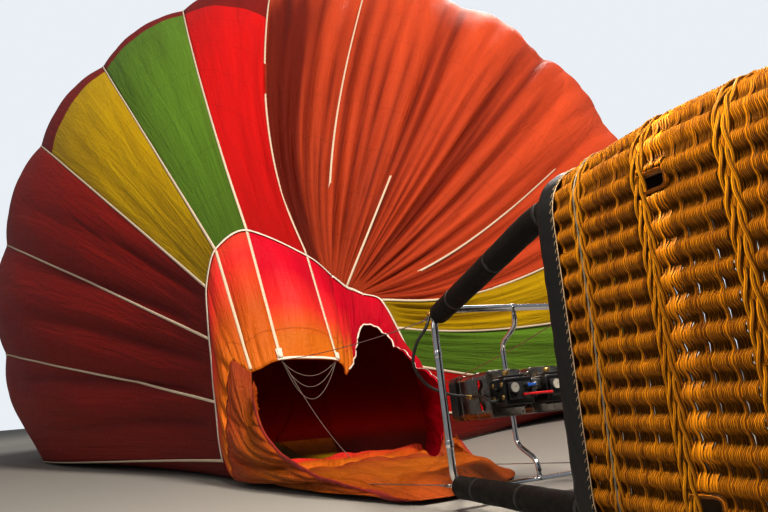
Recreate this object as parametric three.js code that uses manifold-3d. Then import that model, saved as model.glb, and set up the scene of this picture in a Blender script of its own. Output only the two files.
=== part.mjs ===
// Hot air balloon laid out for cold inflation: the basket and load frame lie on one side, and the envelope
// lies along +Y from its mouth to its crown, half filled, with its underside flat on the ground.
// Millimetres, +Z up. Until the last step x = 0 is the middle of the envelope and y = 0 its mouth.
import * as THREE from "three";
import { mergeVertices } from "three/addons/utils/BufferGeometryUtils.js";
import Module from "manifold-3d";

const wasm = await Module();
wasm.setup();

// Driving dimensions of the envelope
const CLOTH = 10;                    // shell thickness of every cloth piece
const GORES = 24;                    // gores round the envelope
const GAP = 0.3;                     // clearance between pieces that touch
const WIDEST = { x: 378, y: 7600, z: 3152, radius: 6543 };   // a round arch, cut off by the ground
const CROWN = { x: -250, y: 16000, z: 4300, radius: 1900, firstSeam: -6.5 };
const LEFT_GROUND = 12;              // the seam where the envelope meets the ground at the left
const RIGHT_GROUND = -1;             // and at the right, which is also seam 23
const PROFILE = {
  leaveMouth: 0.3, arriveWidest: 0.36, leaveWidest: 0.5, arriveCrown: 0.55, scoopDip: 0.35, swayPeak: 0.6,
};
const ORIGIN = { x: 378, y: 5744 };   // the middle of the whole part, seen from above

// Driving dimensions of the basket, its own axes: x across, y from its floor to its rim, z up as it lies
const BASKET = { width: 1500, height: 1440, depth: 1150, corner: 210, wall: 38, sink: 8 };
const RIM = { radius: 42, proud: 6, inFromSkirt: 4 };
const HEM = { length: 120, thickness: 7.7 };
const FLOOR_BOARD = 20;
const SKID = { width: 70, depth: 32, count: 3, apart: 600 };
const FOOTHOLD = { width: 60, height: 110, fromRim: 590, aside: 475 };
const BASKET_PLACE = { x: 1380, y: -3530, yaw: 19.6 };

// Driving dimensions of the load frame and burner, in the basket's axes
const FRAME = { fromRim: 1210, drop: 145, dip: 3.2, width: 1100, height: 980, tube: 20, corner: 110 };
const POLE = { radius: 60, inset: 33.3, intoBasket: 100, straight: 130, bend: 120, fromCorner: 28 };
const POLE_SEAT = { top: 22, low: 20.6 };   // from a pole's end cap to the middle of the frame's tube
const CYLINDER = {
  radius: 148, length: 860, dome: 70, collarRadius: 95, collarLength: 60, collarWall: 6, fromWall: 40,
};
const YOKE = { tube: 15, reach: 170, neck: 60, shoulder: 150, bend: 50, pin: 11 };
const LUG = { radius: 13, length: 24 };
const CAN = { width: 232, height: 260, length: 430, wall: 4, corner: 40, apart: 286 };
const SLOT = { width: 60, height: 180, fromBack: 75 };
const COIL = { radius: 88, tube: 8, turns: 5, from: 60 };
const BLOCK = {
  width: 196, height: 150, length: 130, corner: 16, union: 15, unionOut: 14, unions: [-45, 15],
};
const BRIDGE = { depth: 44, height: 60, z: 30 };
const SHACKLE = {
  radius: 32, length: 52, wire: 6, seat: 19.4, corner: FRAME.corner * (1 - Math.SQRT1_2),
};
const PLATE = 6;
const HOSE_RADIUS = 9;
const HOSE_ROUTE = [
  // x away from the middle, y, z, in the frame's axes
  [600, 10, 390], [640, 70, 310], [630, 150, 200], [530, 200, 90], [410, 185, 30], [318, 172, 10],
];
const WIRE = { radius: 4, sag: 60, short: 0.008 };
const WIRE_SEAM = { left_top: 7, right_top: 23, left_low: 13, right_low: 21 };

const COLOURS = {
  maroon: 0x6f2318, brick: 0xc04a32, red: 0xd8231f, green: 0x5a8c2c, yellow: 0xd9b013,
  crimson: 0xe0103c, orange: 0xe08a3c, wicker: 0xb87a2e, leather: 0x17130f, steel: 0xb9bcc0,
  black: 0x141414, cylinder: 0xa8abb0, board: 0x8d6b45, wire: 0x9a9a98, brass: 0xb08d45,
};

const part = new THREE.Group();
part.position.set(-ORIGIN.x, -ORIGIN.y, 0);

function material(colour, roughness = 0.8, metalness = 0) {
  return new THREE.MeshStandardMaterial({ color: COLOURS[colour], roughness, metalness });
}

function addMesh(parent, name, geometry, mat) {
  const mesh = new THREE.Mesh(geometry, mat);
  mesh.name = name;
  parent.add(mesh);
  return mesh;
}

// Closed solids from geometries, for joining and cutting
function toSolid(geometry) {
  const bare = geometry.clone();
  bare.deleteAttribute("normal");
  bare.deleteAttribute("uv");
  const merged = mergeVertices(bare, 1e-3);
  return new wasm.Manifold(new wasm.Mesh({
    numProp: 3,
    vertProperties: new Float32Array(merged.attributes.position.array),
    triVerts: new Uint32Array(merged.index.array),
  }));
}

function toGeometry(solid) {
  const mesh = solid.getMesh();
  const geometry = new THREE.BufferGeometry();
  geometry.setAttribute("position", new THREE.BufferAttribute(mesh.vertProperties, 3));
  geometry.setIndex(new THREE.BufferAttribute(mesh.triVerts, 1));
  geometry.computeVertexNormals();
  return geometry;
}

function joined(geometries) {
  return toGeometry(geometries.map(toSolid).reduce((all, next) => all.add(next)));
}

function cutBy(geometry, cutters) {
  return toGeometry(cutters.map(toSolid).reduce((rest, cutter) => rest.subtract(cutter), toSolid(geometry)));
}

function signedVolume(positions, index) {
  let volume = 0;
  const [a, b, c] = [new THREE.Vector3(), new THREE.Vector3(), new THREE.Vector3()];
  for (let i = 0; i < index.length; i += 3) {
    a.fromArray(positions, 3 * index[i]);
    b.fromArray(positions, 3 * index[i + 1]);
    c.fromArray(positions, 3 * index[i + 2]);
    volume += a.dot(b.cross(c)) / 6;
  }
  return volume;
}

// A closed cloth piece between two skins of points, rows by columns
function clothSolid(outer, inner) {
  const rows = outer.length;
  const columns = outer[0].length;
  const positions = [];
  for (const skin of [outer, inner]) {
    for (const row of skin) {
      for (const point of row) positions.push(point.x, point.y, point.z);
    }
  }
  const at = (side, r, c) => side * rows * columns + r * columns + c;
  const index = [];
  const quad = (a, b, c, d) => index.push(a, b, c, a, c, d);
  for (let r = 0; r + 1 < rows; r += 1) {
    for (let c = 0; c + 1 < columns; c += 1) {
      quad(at(0, r, c), at(0, r, c + 1), at(0, r + 1, c + 1), at(0, r + 1, c));
      quad(at(1, r, c), at(1, r + 1, c), at(1, r + 1, c + 1), at(1, r, c + 1));
    }
  }
  for (let c = 0; c + 1 < columns; c += 1) {
    quad(at(0, 0, c + 1), at(0, 0, c), at(1, 0, c), at(1, 0, c + 1));
    quad(at(0, rows - 1, c + 1), at(1, rows - 1, c + 1), at(1, rows - 1, c), at(0, rows - 1, c));
  }
  for (let r = 0; r + 1 < rows; r += 1) {
    quad(at(0, r, 0), at(0, r + 1, 0), at(1, r + 1, 0), at(1, r, 0));
    quad(at(0, r, columns - 1), at(1, r, columns - 1), at(1, r + 1, columns - 1), at(0, r + 1, columns - 1));
  }
  if (signedVolume(positions, index) < 0) index.reverse();
  const geometry = new THREE.BufferGeometry();
  geometry.setAttribute("position", new THREE.Float32BufferAttribute(positions, 3));
  geometry.setIndex(index);
  geometry.computeVertexNormals();
  return geometry;
}

// A round bar or tube along a curve
function bar(curve, radius, steps, sides = 10) {
  const section = new THREE.Shape();
  section.absarc(0, 0, radius, 0, 2 * Math.PI, false);
  return new THREE.ExtrudeGeometry(section, {
    steps, curveSegments: sides / 2, bevelEnabled: false, extrudePath: curve,
  });
}

function straightBar(from, to, radius, sides = 12) {
  const along = new THREE.Vector3().subVectors(to, from);
  const geometry = new THREE.CylinderGeometry(radius, radius, along.length(), sides);
  geometry.applyQuaternion(new THREE.Quaternion().setFromUnitVectors(new THREE.Vector3(0, 1, 0),
    along.clone().normalize()));
  const middle = from.clone().add(to).multiplyScalar(0.5);
  return geometry.translate(middle.x, middle.y, middle.z);
}

// A path of straight runs with rounded corners
function roundedPath(points, radius) {
  const path = new THREE.CurvePath();
  let start = points[0];
  for (let i = 1; i + 1 < points.length; i += 1) {
    const corner = points[i];
    const before = corner.clone().add(points[i - 1].clone().sub(corner).setLength(radius));
    const after = corner.clone().add(points[i + 1].clone().sub(corner).setLength(radius));
    path.add(new THREE.LineCurve3(start, before));
    path.add(new THREE.QuadraticBezierCurve3(before, corner, after));
    start = after;
  }
  path.add(new THREE.LineCurve3(start, points[points.length - 1]));
  return path;
}

function roundedRectangle(width, height, radius) {
  const [w, h] = [width / 2, height / 2];
  const shape = new THREE.Shape();
  shape.moveTo(w, h - radius);
  shape.absarc(w - radius, h - radius, radius, 0, Math.PI / 2, false);
  shape.absarc(-w + radius, h - radius, radius, Math.PI / 2, Math.PI, false);
  shape.absarc(-w + radius, -h + radius, radius, Math.PI, 1.5 * Math.PI, false);
  shape.absarc(w - radius, -h + radius, radius, 1.5 * Math.PI, 2 * Math.PI, false);
  shape.closePath();
  return shape;
}

// Extrudes an outline drawn in x and z from y = start back to y = start - depth
function extrudeBack(shape, start, depth, curveSegments = 6) {
  const geometry = new THREE.ExtrudeGeometry(shape, { depth, curveSegments, bevelEnabled: false });
  return geometry.rotateX(Math.PI / 2).translate(0, start, 0);
}

// Envelope. A seam is the line between two gores. Seam 12 lies on the ground at the left, seams 0 to 11 go
// over the top from right to left, seams 13 to 22 lie folded on the ground, and seam 23 is on the ground
// at the right. mouthRows: seam, then where the tape round the top of the mouth panels meets it.
const mouthRows = [
  // seam, x, y, z
  [-1, 800, 1080, 900],
  [0, 640, 1020, 1320],
  [1, 480, 950, 1630],
  [2, 290, 920, 1700],
  [3, 190, 880, 1750],
  [4, 110, 790, 1770],
  [5, -40, 610, 1870],
  [6, -280, 330, 2040],
  [7, -840, 100, 2280],
  [8, -1120, -20, 2080],
  [9, -1200, -70, 1720],
  [10, -1180, -120, 1240],
  [11, -1140, -160, 680],
  [12, -1090, -160, 180],
  [13, -930, -120, 0],
  [17, -60, 300, 0],
  [21, 760, 820, 0],
  [22, 850, 1000, 380],
  [23, 800, 1080, 900],
];
// lipRows: seam, then the free edge of the mouth panels, held up in folds
const lipRows = [
  // seam, x, y, z
  [-1, 830, -280, 660],
  [0, 560, 300, 1030],
  [1, 400, 640, 1290],
  [2, 250, 640, 1330],
  [3, 170, 520, 1180],
  [4, 110, 300, 960],
  [5, 20, 40, 830],
  [6, -60, -190, 950],
  [7, -540, -440, 980],
  [8, -790, -460, 900],
  [9, -960, -420, 1010],
  [10, -1010, -430, 640],
  [11, -1010, -470, 300],
  [12, -960, -500, 60],
  [13, -820, -480, 0],
  [17, -100, -560, 0],
  [21, 640, -560, 0],
  [22, 800, -480, 330],
  [23, 830, -280, 660],
];

// scoopRows: seam, then the free edge of the scoop, which hangs from the left corner of the mouth
const scoopRows = [
  // seam, x, y, z
  [7, -560, -480, 960],
  [8, -760, -620, 820],
  [9, -680, -940, 470],
  [10, -500, -1280, 260],
  [11, -240, -1640, 130],
  [12, 60, -1980, 60],
  [13, 320, -2280, 12],
  [15, 760, -2060, 0],
  [17, 1060, -1600, 0],
  [19, 1120, -1180, 0],
  [21, 1010, -800, 0],
  [22, 880, -560, 250],
  [23, 840, -300, 640],
];

const SLACK = 2.6;                   // divides the slopes of the curves through the rows
function alongRows(rows, seam) {
  let i = 0;
  while (i + 2 < rows.length && rows[i + 1][0] < seam) i += 1;
  const row = (n) => rows[Math.min(Math.max(n, 0), rows.length - 1)];
  const t = (seam - row(i)[0]) / (row(i + 1)[0] - row(i)[0]);
  const value = (column) => {
    const [p0, p1, p2, p3] = [-1, 0, 1, 2].map((step) => row(i + step)[column]);
    const [m1, m2] = [(p2 - p0) / SLACK, (p3 - p1) / SLACK];
    const [t2, t3] = [t * t, t * t * t];
    return (2 * t3 - 3 * t2 + 1) * p1 + (t3 - 2 * t2 + t) * m1 + (-2 * t3 + 3 * t2) * p2 + (t3 - t2) * m2;
  };
  return new THREE.Vector3(value(1), value(2), Math.max(value(3), 0));
}

// The widest section: a round arch over seams -1 to 12, and the flat underside for the rest
function widestPoint(seam) {
  const low = Math.asin(-WIDEST.z / WIDEST.radius);
  if (seam >= LEFT_GROUND) {
    const across = (seam - LEFT_GROUND) / (RIGHT_GROUND + GORES - LEFT_GROUND);
    const x = WIDEST.x + WIDEST.radius * Math.cos(low) * (2 * across - 1);
    return new THREE.Vector3(x, WIDEST.y, 0);
  }
  const angle = low + (Math.PI - 2 * low) * (seam - RIGHT_GROUND) / (LEFT_GROUND - RIGHT_GROUND);
  const z = WIDEST.z + WIDEST.radius * Math.sin(angle);
  return new THREE.Vector3(WIDEST.x + WIDEST.radius * Math.cos(angle), WIDEST.y, Math.max(z, 0));
}

function crownPoint(seam, radius = CROWN.radius) {
  const angle = 1.5 * Math.PI + 2 * Math.PI * (seam - CROWN.firstSeam) / GORES;
  return new THREE.Vector3(CROWN.x + radius * Math.cos(angle), CROWN.y, CROWN.z + radius * Math.sin(angle));
}

function wrapped(seam) {
  if (seam < RIGHT_GROUND) return seam + GORES;
  return seam > RIGHT_GROUND + GORES ? seam - GORES : seam;
}

// sways: first and last seam between which the slack cloth hangs aside or down, and how far, x and z
const sways = [
  [-1, 3.6, 0, -420],
  [4, 7.4, -350, 0],
];

function swayed(point, seam, along) {
  const reach = Math.sin(Math.PI * along ** PROFILE.swayPeak) ** 2;
  for (const [first, last, x, z] of sways) {
    const across = Math.min(Math.max((seam - first) / (last - first), 0), 1);
    const push = reach * Math.sin(Math.PI * across) ** 2;
    point.x += x * push;
    point.z = Math.max(point.z + z * push, 0);
  }
  return point;
}

// A point of the envelope: along is -2 at the scoop's edge, -1 at the lip of the mouth, 0 at the mouth tape,
// 1 at the widest section and 2 at the crown
function envelopePoint(seamAnywhere, along) {
  const seam = wrapped(seamAnywhere);
  if (along < -1) {
    const lip = alongRows(lipRows, seam);
    const edge = alongRows(scoopRows, seam);
    const point = lip.lerp(edge, -1 - along);
    point.z *= 1 - PROFILE.scoopDip * Math.sin(Math.PI * (-1 - along));
    return point;
  }
  if (along < 0) return alongRows(mouthRows, seam).lerp(alongRows(lipRows, seam), -along);
  const widest = widestPoint(seam);
  if (along <= 1) {
    const mouth = alongRows(mouthRows, seam);
    const leave = mouth.clone().lerp(widest, PROFILE.leaveMouth);
    const arrive = widest.clone().add(new THREE.Vector3(0, -PROFILE.arriveWidest * WIDEST.y, 0));
    return swayed(new THREE.CubicBezierCurve3(mouth, leave, arrive, widest).getPoint(along), seam, along);
  }
  const crown = crownPoint(seam);
  const leave = widest.clone().add(new THREE.Vector3(0, PROFILE.leaveWidest * (CROWN.y - WIDEST.y), 0));
  const arrive = crown.clone().lerp(new THREE.Vector3(widest.x, CROWN.y, widest.z), PROFILE.arriveCrown);
  return new THREE.CubicBezierCurve3(widest, leave, arrive, crown).getPoint(along - 1);
}

// The inward direction, from differences along and across
const DIFFERENCE = { seam: 0.02, along: 0.01 };
function inward(pointAt, u, v) {
  const across = pointAt(u + DIFFERENCE.seam, v).sub(pointAt(u - DIFFERENCE.seam, v));
  const along = pointAt(u, v + DIFFERENCE.along).sub(pointAt(u, v - DIFFERENCE.along));
  return across.cross(along).normalize();
}

// Rows run along the envelope, columns across it, each edge drawn in by half the gap between neighbours
function clothBetween(pointAt, seams, alongs) {
  const outer = [];
  const inner = [];
  for (const along of alongs) {
    const outerRow = [];
    const innerRow = [];
    for (const seam of seams) {
      const point = pointAt(seam, along);
      const depth = inward(pointAt, seam, Math.min(along, 2 - 2 * DIFFERENCE.along)).multiplyScalar(CLOTH);
      const deep = point.clone().add(depth);
      deep.z = Math.max(deep.z, CLOTH);
      point.z = Math.max(point.z, 0);
      outerRow.push(point);
      innerRow.push(deep);
    }
    outer.push(outerRow);
    inner.push(innerRow);
  }
  const drawnIn = (point, towards) => point.clone().add(towards.clone().sub(point).setLength(GAP));
  for (const skin of [outer, inner]) {
    for (const row of skin) {
      const last = row.length - 1;
      row[0] = drawnIn(row[0], row[1]);
      row[last] = drawnIn(row[last], row[last - 1]);
    }
    const end = skin.length - 1;
    skin[0] = skin[0].map((point, c) => drawnIn(point, skin[1][c]));
    skin[end] = skin[end].map((point, c) => drawnIn(point, skin[end - 1][c]));
  }
  return clothSolid(outer, inner);
}

function spread(from, to, steps) {
  return Array.from({ length: steps + 1 }, (_, i) => from + (to - from) * i / steps);
}

// Air pushes each gore out between its tapes, and the slack cloth falls into pleats, deepest at the right.
// Heights are parts of a gore's width. Rise and fade are pairs of along between which they grow and end.
const AIRBORNE = { rise: [-1, 0.2], fade: [11.2, 12] };
const SLACK_GORES = [5.6, 6.6];
const BULGE = { height: 0.06, rise: [0.02, 0.5], fade: [1.75, 2] };
const PLEAT = {
  perGore: 2, slack: 0.065, tight: 0.016, sharpness: 0.62, level: 0.75, wander: 0.12, drift: 2.3,
  rise: [0.05, 0.2], fade: [0.35, 0.85],
};

const risen = (value, [low, high]) => THREE.MathUtils.smoothstep(value, low, high);
const faded = (value, ends) => 1 - risen(value, ends);

function goreFullness(seam, along) {
  const airborne = risen(seam, AIRBORNE.rise) * faded(seam, AIRBORNE.fade);
  const middle = 1 - (2 * (seam - Math.floor(seam)) - 1) ** 2;
  const bulge = BULGE.height * middle * risen(along, BULGE.rise) * faded(along, BULGE.fade);
  const turns = PLEAT.perGore * seam + PLEAT.wander * Math.sin(PLEAT.drift * along + seam);
  const pleat = Math.abs(Math.sin(Math.PI * turns)) ** PLEAT.sharpness - PLEAT.level;
  const depth = PLEAT.slack * faded(seam, SLACK_GORES) + PLEAT.tight;
  return airborne * (bulge + depth * pleat * risen(along, PLEAT.rise) * faded(along, PLEAT.fade));
}

function gorePoint(seam, along) {
  const held = Math.min(along, 2 - 2 * DIFFERENCE.along);
  const ahead = envelopePoint(seam + DIFFERENCE.seam, held);
  const width = ahead.distanceTo(envelopePoint(seam - DIFFERENCE.seam, held)) / (2 * DIFFERENCE.seam);
  const stand = goreFullness(seam, along) * width;
  return envelopePoint(seam, along).sub(inward(envelopePoint, seam, held).multiplyScalar(stand));
}

// stripes: name, first seam, last seam, colour. Seams below 0 count back from seam 24.
const stripes = [
  ["gore_yellow_right", 0, 1, "yellow"],
  ["gores_brick", 1, 6, "brick"],
  ["gore_red_top", 6, 7, "red"],
  ["gore_green_top", 7, 8, "green"],
  ["gore_yellow_left", 8, 9, "yellow"],
  ["gores_maroon_left", 9, 12, "maroon"],
  ["gores_maroon_under_left", 12, 14, "maroon"],
  ["gore_red_under", 14, 15, "red"],
  ["gore_green_under", 15, 16, "green"],
  ["gore_yellow_under", 16, 17, "yellow"],
  ["gores_maroon_under_right", 17, 22, "maroon"],
  ["gore_red_right", 22, 23, "red"],
  ["gore_green_right", -1, 0, "green"],
];
const ALONG_STEPS = [0, 0.08, 0.18, 0.3, 0.44, 0.58, 0.72, 0.86, 1, 1.15, 1.3, 1.45, 1.6, 1.75, 1.88, 2];
const COLUMNS = { slack: 6, tight: 4, onGround: 2 };
function seamSteps(first, last) {
  const seams = [first];
  for (let gore = first; gore < last; gore += 1) {
    const above = gore < SLACK_GORES[0] ? COLUMNS.slack : COLUMNS.tight;
    const columns = gore >= RIGHT_GROUND && gore < LEFT_GROUND ? above : COLUMNS.onGround;
    seams.push(...spread(gore, gore + 1, columns).slice(1));
  }
  return seams;
}
for (const [name, first, last, colour] of stripes) {
  addMesh(part, name, clothBetween(gorePoint, seamSteps(first, last), ALONG_STEPS), material(colour, 0.6));
}

// A closed band between two skins whose columns run all the way round
function roundCloth(outer, inner) {
  const rows = outer.length;
  const columns = outer[0].length - 1;
  const positions = [];
  for (const skin of [outer, inner]) {
    for (const row of skin) {
      for (const point of row.slice(0, columns)) positions.push(point.x, point.y, point.z);
    }
  }
  const at = (side, r, c) => side * rows * columns + r * columns + (c % columns);
  const index = [];
  const quad = (a, b, c, d) => index.push(a, b, c, a, c, d);
  for (let c = 0; c < columns; c += 1) {
    for (let r = 0; r + 1 < rows; r += 1) {
      quad(at(0, r, c), at(0, r, c + 1), at(0, r + 1, c + 1), at(0, r + 1, c));
      quad(at(1, r, c), at(1, r + 1, c), at(1, r + 1, c + 1), at(1, r, c + 1));
    }
    quad(at(0, 0, c + 1), at(0, 0, c), at(1, 0, c), at(1, 0, c + 1));
    quad(at(0, rows - 1, c), at(0, rows - 1, c + 1), at(1, rows - 1, c + 1), at(1, rows - 1, c));
  }
  if (signedVolume(positions, index) < 0) index.reverse();
  const geometry = new THREE.BufferGeometry();
  geometry.setAttribute("position", new THREE.Float32BufferAttribute(positions, 3));
  geometry.setIndex(index);
  geometry.computeVertexNormals();
  return geometry;
}

// Mouth panels between the mouth tape and the lip, and the scoop beyond them: name, first and last seam,
// how far along they start and end, colour
const mouthPieces = [
  ["mouth_panels_right", -3, 4, 0, -1, "crimson"],
  ["mouth_panels_top", 4, 8, 0, -1, "crimson"],
  ["mouth_panels_left", 8, 12, 0, -1, "orange"],
  ["mouth_panels_under", 12, 21, 0, -1, "orange"],
  ["scoop", 8, 22, -1, -2, "orange"],
];
for (const [name, first, last, start, end, colour] of mouthPieces) {
  const geometry = clothBetween(envelopePoint, seamSteps(first, last), spread(start, end, 4));
  addMesh(part, name, geometry, material(colour, 0.7));
}

// The vent panel closes the crown opening from inside, and the gore tapes run over it to the crown ring
const VENT = { lap: 50, dish: 280, rings: 3, sides: 48, hole: 38 };
const CROWN_RING = { radius: 190, tube: 14, lift: 22 };
const CROWN_TAPE = { halfWidth: 25, thickness: 6, lap: 1, lift: 14, ontoRing: 6 };

function ventHeight(radius) {
  if (radius > CROWN.radius) return CROWN.radius - radius;
  return VENT.dish * (1 - (radius / CROWN.radius) ** 2);
}

function ventSkin(depth) {
  return [...spread(VENT.hole, CROWN.radius, VENT.rings), CROWN.radius + VENT.lap].map((radius) => {
    const y = CROWN.y - CLOTH - 3 * GAP + ventHeight(radius) - depth;
    return spread(0, 2 * Math.PI, VENT.sides).map((angle) => new THREE.Vector3(
      CROWN.x + radius * Math.cos(angle), y, CROWN.z + radius * Math.sin(angle)));
  });
}
addMesh(part, "vent_panel", roundCloth(ventSkin(0), ventSkin(CLOTH)), material("maroon", 0.6));

function crownTape(seam) {
  const skins = [CROWN_TAPE.thickness, 0].map((height) => [-1, 1].map((side) => (
    spread(CROWN_RING.radius - CROWN_TAPE.ontoRing, CROWN.radius + CROWN_TAPE.lap, 4).map((radius) => {
      const middle = crownPoint(seam, radius);
      const next = crownPoint(seam + GORES / 4, CROWN_TAPE.halfWidth);
      const beside = new THREE.Vector3(next.x - CROWN.x, 0, next.z - CROWN.z).multiplyScalar(side);
      const over = Math.max(ventHeight(radius), 0) + (radius > CROWN.radius ? GAP : CROWN_TAPE.lift);
      return middle.add(beside).add(new THREE.Vector3(0, over + height, 0));
    })
  )));
  return clothSolid(skins[0], skins[1]);
}
const crownRing = new THREE.TorusGeometry(CROWN_RING.radius, CROWN_RING.tube, 8, 36).rotateX(Math.PI / 2);
crownRing.translate(CROWN.x, CROWN.y + ventHeight(CROWN_RING.radius) + CROWN_RING.lift, CROWN.z);
addMesh(part, "crown_ring_and_tapes", joined([crownRing, ...spread(0, 23, 23).map(crownTape)]),
  material("wire", 0.5, 0.3));

// Basket, lying on one side with its open top towards the mouth
const basket = new THREE.Group();
basket.position.set(BASKET_PLACE.x, BASKET_PLACE.y, BASKET.height / 2);
basket.rotation.z = THREE.MathUtils.degToRad(BASKET_PLACE.yaw);
part.add(basket);

const wicker = { width: BASKET.width - 2 * BASKET.sink, height: BASKET.height - 2 * BASKET.sink };
const inside = { width: wicker.width - 2 * BASKET.wall, height: wicker.height - 2 * BASKET.wall };

function rectangleRing(width, height, corner, thickness) {
  const shape = roundedRectangle(width, height, corner);
  shape.holes.push(roundedRectangle(width - 2 * thickness, height - 2 * thickness, corner - thickness));
  return shape;
}

const footholds = [];
for (const side of [-1, 1]) {
  for (const aside of [-FOOTHOLD.aside, FOOTHOLD.aside]) {
    footholds.push(new THREE.BoxGeometry(4 * BASKET.wall, FOOTHOLD.height, FOOTHOLD.width)
      .translate(side * (wicker.width - BASKET.wall) / 2, -FOOTHOLD.fromRim, aside));
  }
}
const wallShape = rectangleRing(wicker.width, wicker.height, BASKET.corner, BASKET.wall);
const footY = RIM.radius + GAP - BASKET.depth;
const wall = extrudeBack(wallShape, -RIM.radius - GAP, -RIM.radius - GAP - footY);
addMesh(basket, "basket_wall", cutBy(wall, footholds), material("wicker", 0.7));

// The leather rim, a band rounded over the top edge
const rimShape = rectangleRing(BASKET.width - RIM.inFromSkirt, BASKET.height - RIM.inFromSkirt,
  BASKET.corner + RIM.proud, BASKET.wall + RIM.proud);
addMesh(basket, "basket_rim", extrudeBack(rimShape, 0, RIM.radius), material("leather", 0.5));

// The hem of hide round the foot of the wall, the floor board and the skids under it
const hemShape = rectangleRing(BASKET.width, BASKET.height, BASKET.corner + BASKET.sink, HEM.thickness);
const hem = extrudeBack(hemShape, footY + HEM.length, HEM.length);
addMesh(basket, "basket_hem", hem, material("leather", 0.6));
const boardCorner = BASKET.corner - BASKET.wall;
const boardShape = roundedRectangle(inside.width - 2 * GAP, inside.height - 2 * GAP, boardCorner);
const board = extrudeBack(boardShape, footY + FLOOR_BOARD, FLOOR_BOARD);
addMesh(basket, "basket_floor", board, material("board", 0.7));
for (let i = 0; i < SKID.count; i += 1) {
  const x = (i - (SKID.count - 1) / 2) * SKID.apart;
  const skid = new THREE.BoxGeometry(SKID.width, SKID.depth, BASKET.height - 2 * BASKET.corner);
  skid.translate(x, footY - SKID.depth / 2 - GAP, 0);
  addMesh(basket, `basket_skid_${i + 1}`, skid, material("board", 0.7));
}

// Fuel cylinders stand in the corners, valve end towards the rim
function fuelCylinder() {
  const { radius, length, dome, collarRadius, collarLength, collarWall } = CYLINDER;
  const profile = [[0, 0]];
  const quarter = spread(0, Math.PI / 2, 3);
  for (const angle of quarter) {
    profile.push([radius - dome + dome * Math.sin(angle), dome - dome * Math.cos(angle)]);
  }
  for (const angle of quarter.slice(0, -1)) {
    profile.push([radius - dome + dome * Math.cos(angle), length - dome + dome * Math.sin(angle)]);
  }
  const collarInside = collarRadius - collarWall;
  profile.push([collarRadius, length - collarWall], [collarRadius, length + collarLength]);
  profile.push([collarInside, length + collarLength], [collarInside, length - collarWall], [0, length]);
  return new THREE.LatheGeometry(profile.map(([r, y]) => new THREE.Vector2(r, y)), 16);
}
const CORNERS = [[-1, 1, "left_top"], [1, 1, "right_top"], [-1, -1, "left_low"], [1, -1, "right_low"]];
for (const [sx, sz, where] of CORNERS) {
  const fromWall = CYLINDER.radius + CYLINDER.fromWall;
  const cylinder = addMesh(basket, `fuel_cylinder_${where}`, fuelCylinder(),
    material("cylinder", 0.35, 0.8));
  cylinder.position.set(sx * (inside.width / 2 - fromWall), footY + FLOOR_BOARD + GAP,
    sz * (inside.height / 2 - fromWall));
}

// Load frame and burner
const frameMiddle = new THREE.Vector3(0, FRAME.fromRim, -FRAME.drop);
const frame = new THREE.Group();
frame.position.copy(frameMiddle);
frame.rotation.x = -THREE.MathUtils.degToRad(FRAME.dip);
basket.add(frame);

function frameHalf(side) {
  const [w, h] = [FRAME.width / 2, FRAME.height / 2];
  const corners = [[0, h], [side * w, h], [side * w, -h], [0, -h]];
  const start = corners.map(([x, z]) => new THREE.Vector3(x, 0, z));
  start[0].x = start[3].x = -side * 2;
  return bar(roundedPath(start, FRAME.corner), FRAME.tube, 24);
}
const lug = (sz) => straightBar(new THREE.Vector3(0, 0, sz * FRAME.height / 2),
  new THREE.Vector3(0, 0, sz * (FRAME.height / 2 - FRAME.tube - LUG.length)), LUG.radius);
const loadFrame = joined([frameHalf(-1), frameHalf(1), lug(1), lug(-1)]);
addMesh(frame, "load_frame", loadFrame, material("steel", 0.2, 1));

const onFrame = (x, y, z) => new THREE.Vector3(x, y, z).applyEuler(frame.rotation).add(frameMiddle);

// A fuel hose leaves the end of each upper pole cover beside the frame, and loops round to its burner at the
// height of the cross pin
function addFuelHose(polePath, sx, sz) {
  if (sz < 0) return;
  const out = polePath.getTangent(1);
  const beside = new THREE.Vector3(sx, 0, 0).projectOnPlane(out).setLength(POLE.radius - HOSE_RADIUS);
  const start = polePath.getPoint(1).add(beside).addScaledVector(out, 2 * GAP);
  const route = [start, start.clone().addScaledVector(out, 2 * HOSE_RADIUS)];
  for (const [x, y, z] of HOSE_ROUTE) route.push(onFrame(sx * x, y, z));
  const side = sx < 0 ? "left" : "right";
  addMesh(basket, `fuel_hose_${side}`, bar(new THREE.CatmullRomCurve3(route), HOSE_RADIUS, 20, 8),
    material("black", 0.6));
}

// Padded pole covers from the basket's corners to the frame's corners
for (const [sx, sz, where] of CORNERS) {
  const inset = POLE.radius + POLE.inset;
  const foot = new THREE.Vector3(sx * (inside.width / 2 - inset), -POLE.intoBasket,
    sz * (inside.height / 2 - inset));
  const rim = foot.clone().setY(POLE.straight);
  const top = onFrame(sx * (FRAME.width / 2 - POLE.fromCorner), -(sz > 0 ? POLE_SEAT.top : POLE_SEAT.low),
    sz * (FRAME.height / 2 - POLE.fromCorner));
  const path = roundedPath([foot, rim, top], POLE.bend);
  addMesh(basket, `pole_cover_${where}`, bar(path, POLE.radius, 12, 16), material("black", 0.8));
  addFuelHose(path, sx, sz);
}

// A shackle at each corner of the frame takes the ends of the flying wires
function shackle(sx, sz) {
  const { radius, wire, length } = SHACKLE;
  const loop = new THREE.TorusGeometry(radius, wire, 6, 16).scale(1, length / radius, 1);
  return loop.translate(sx * (FRAME.width / 2 - SHACKLE.corner),
    SHACKLE.seat + (1 + wire / radius) * length, sz * (FRAME.height / 2 - SHACKLE.corner));
}
for (const [sx, sz, where] of CORNERS) {
  addMesh(frame, `shackle_${where}`, shackle(sx, sz), material("steel", 0.3, 1));
}

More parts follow.
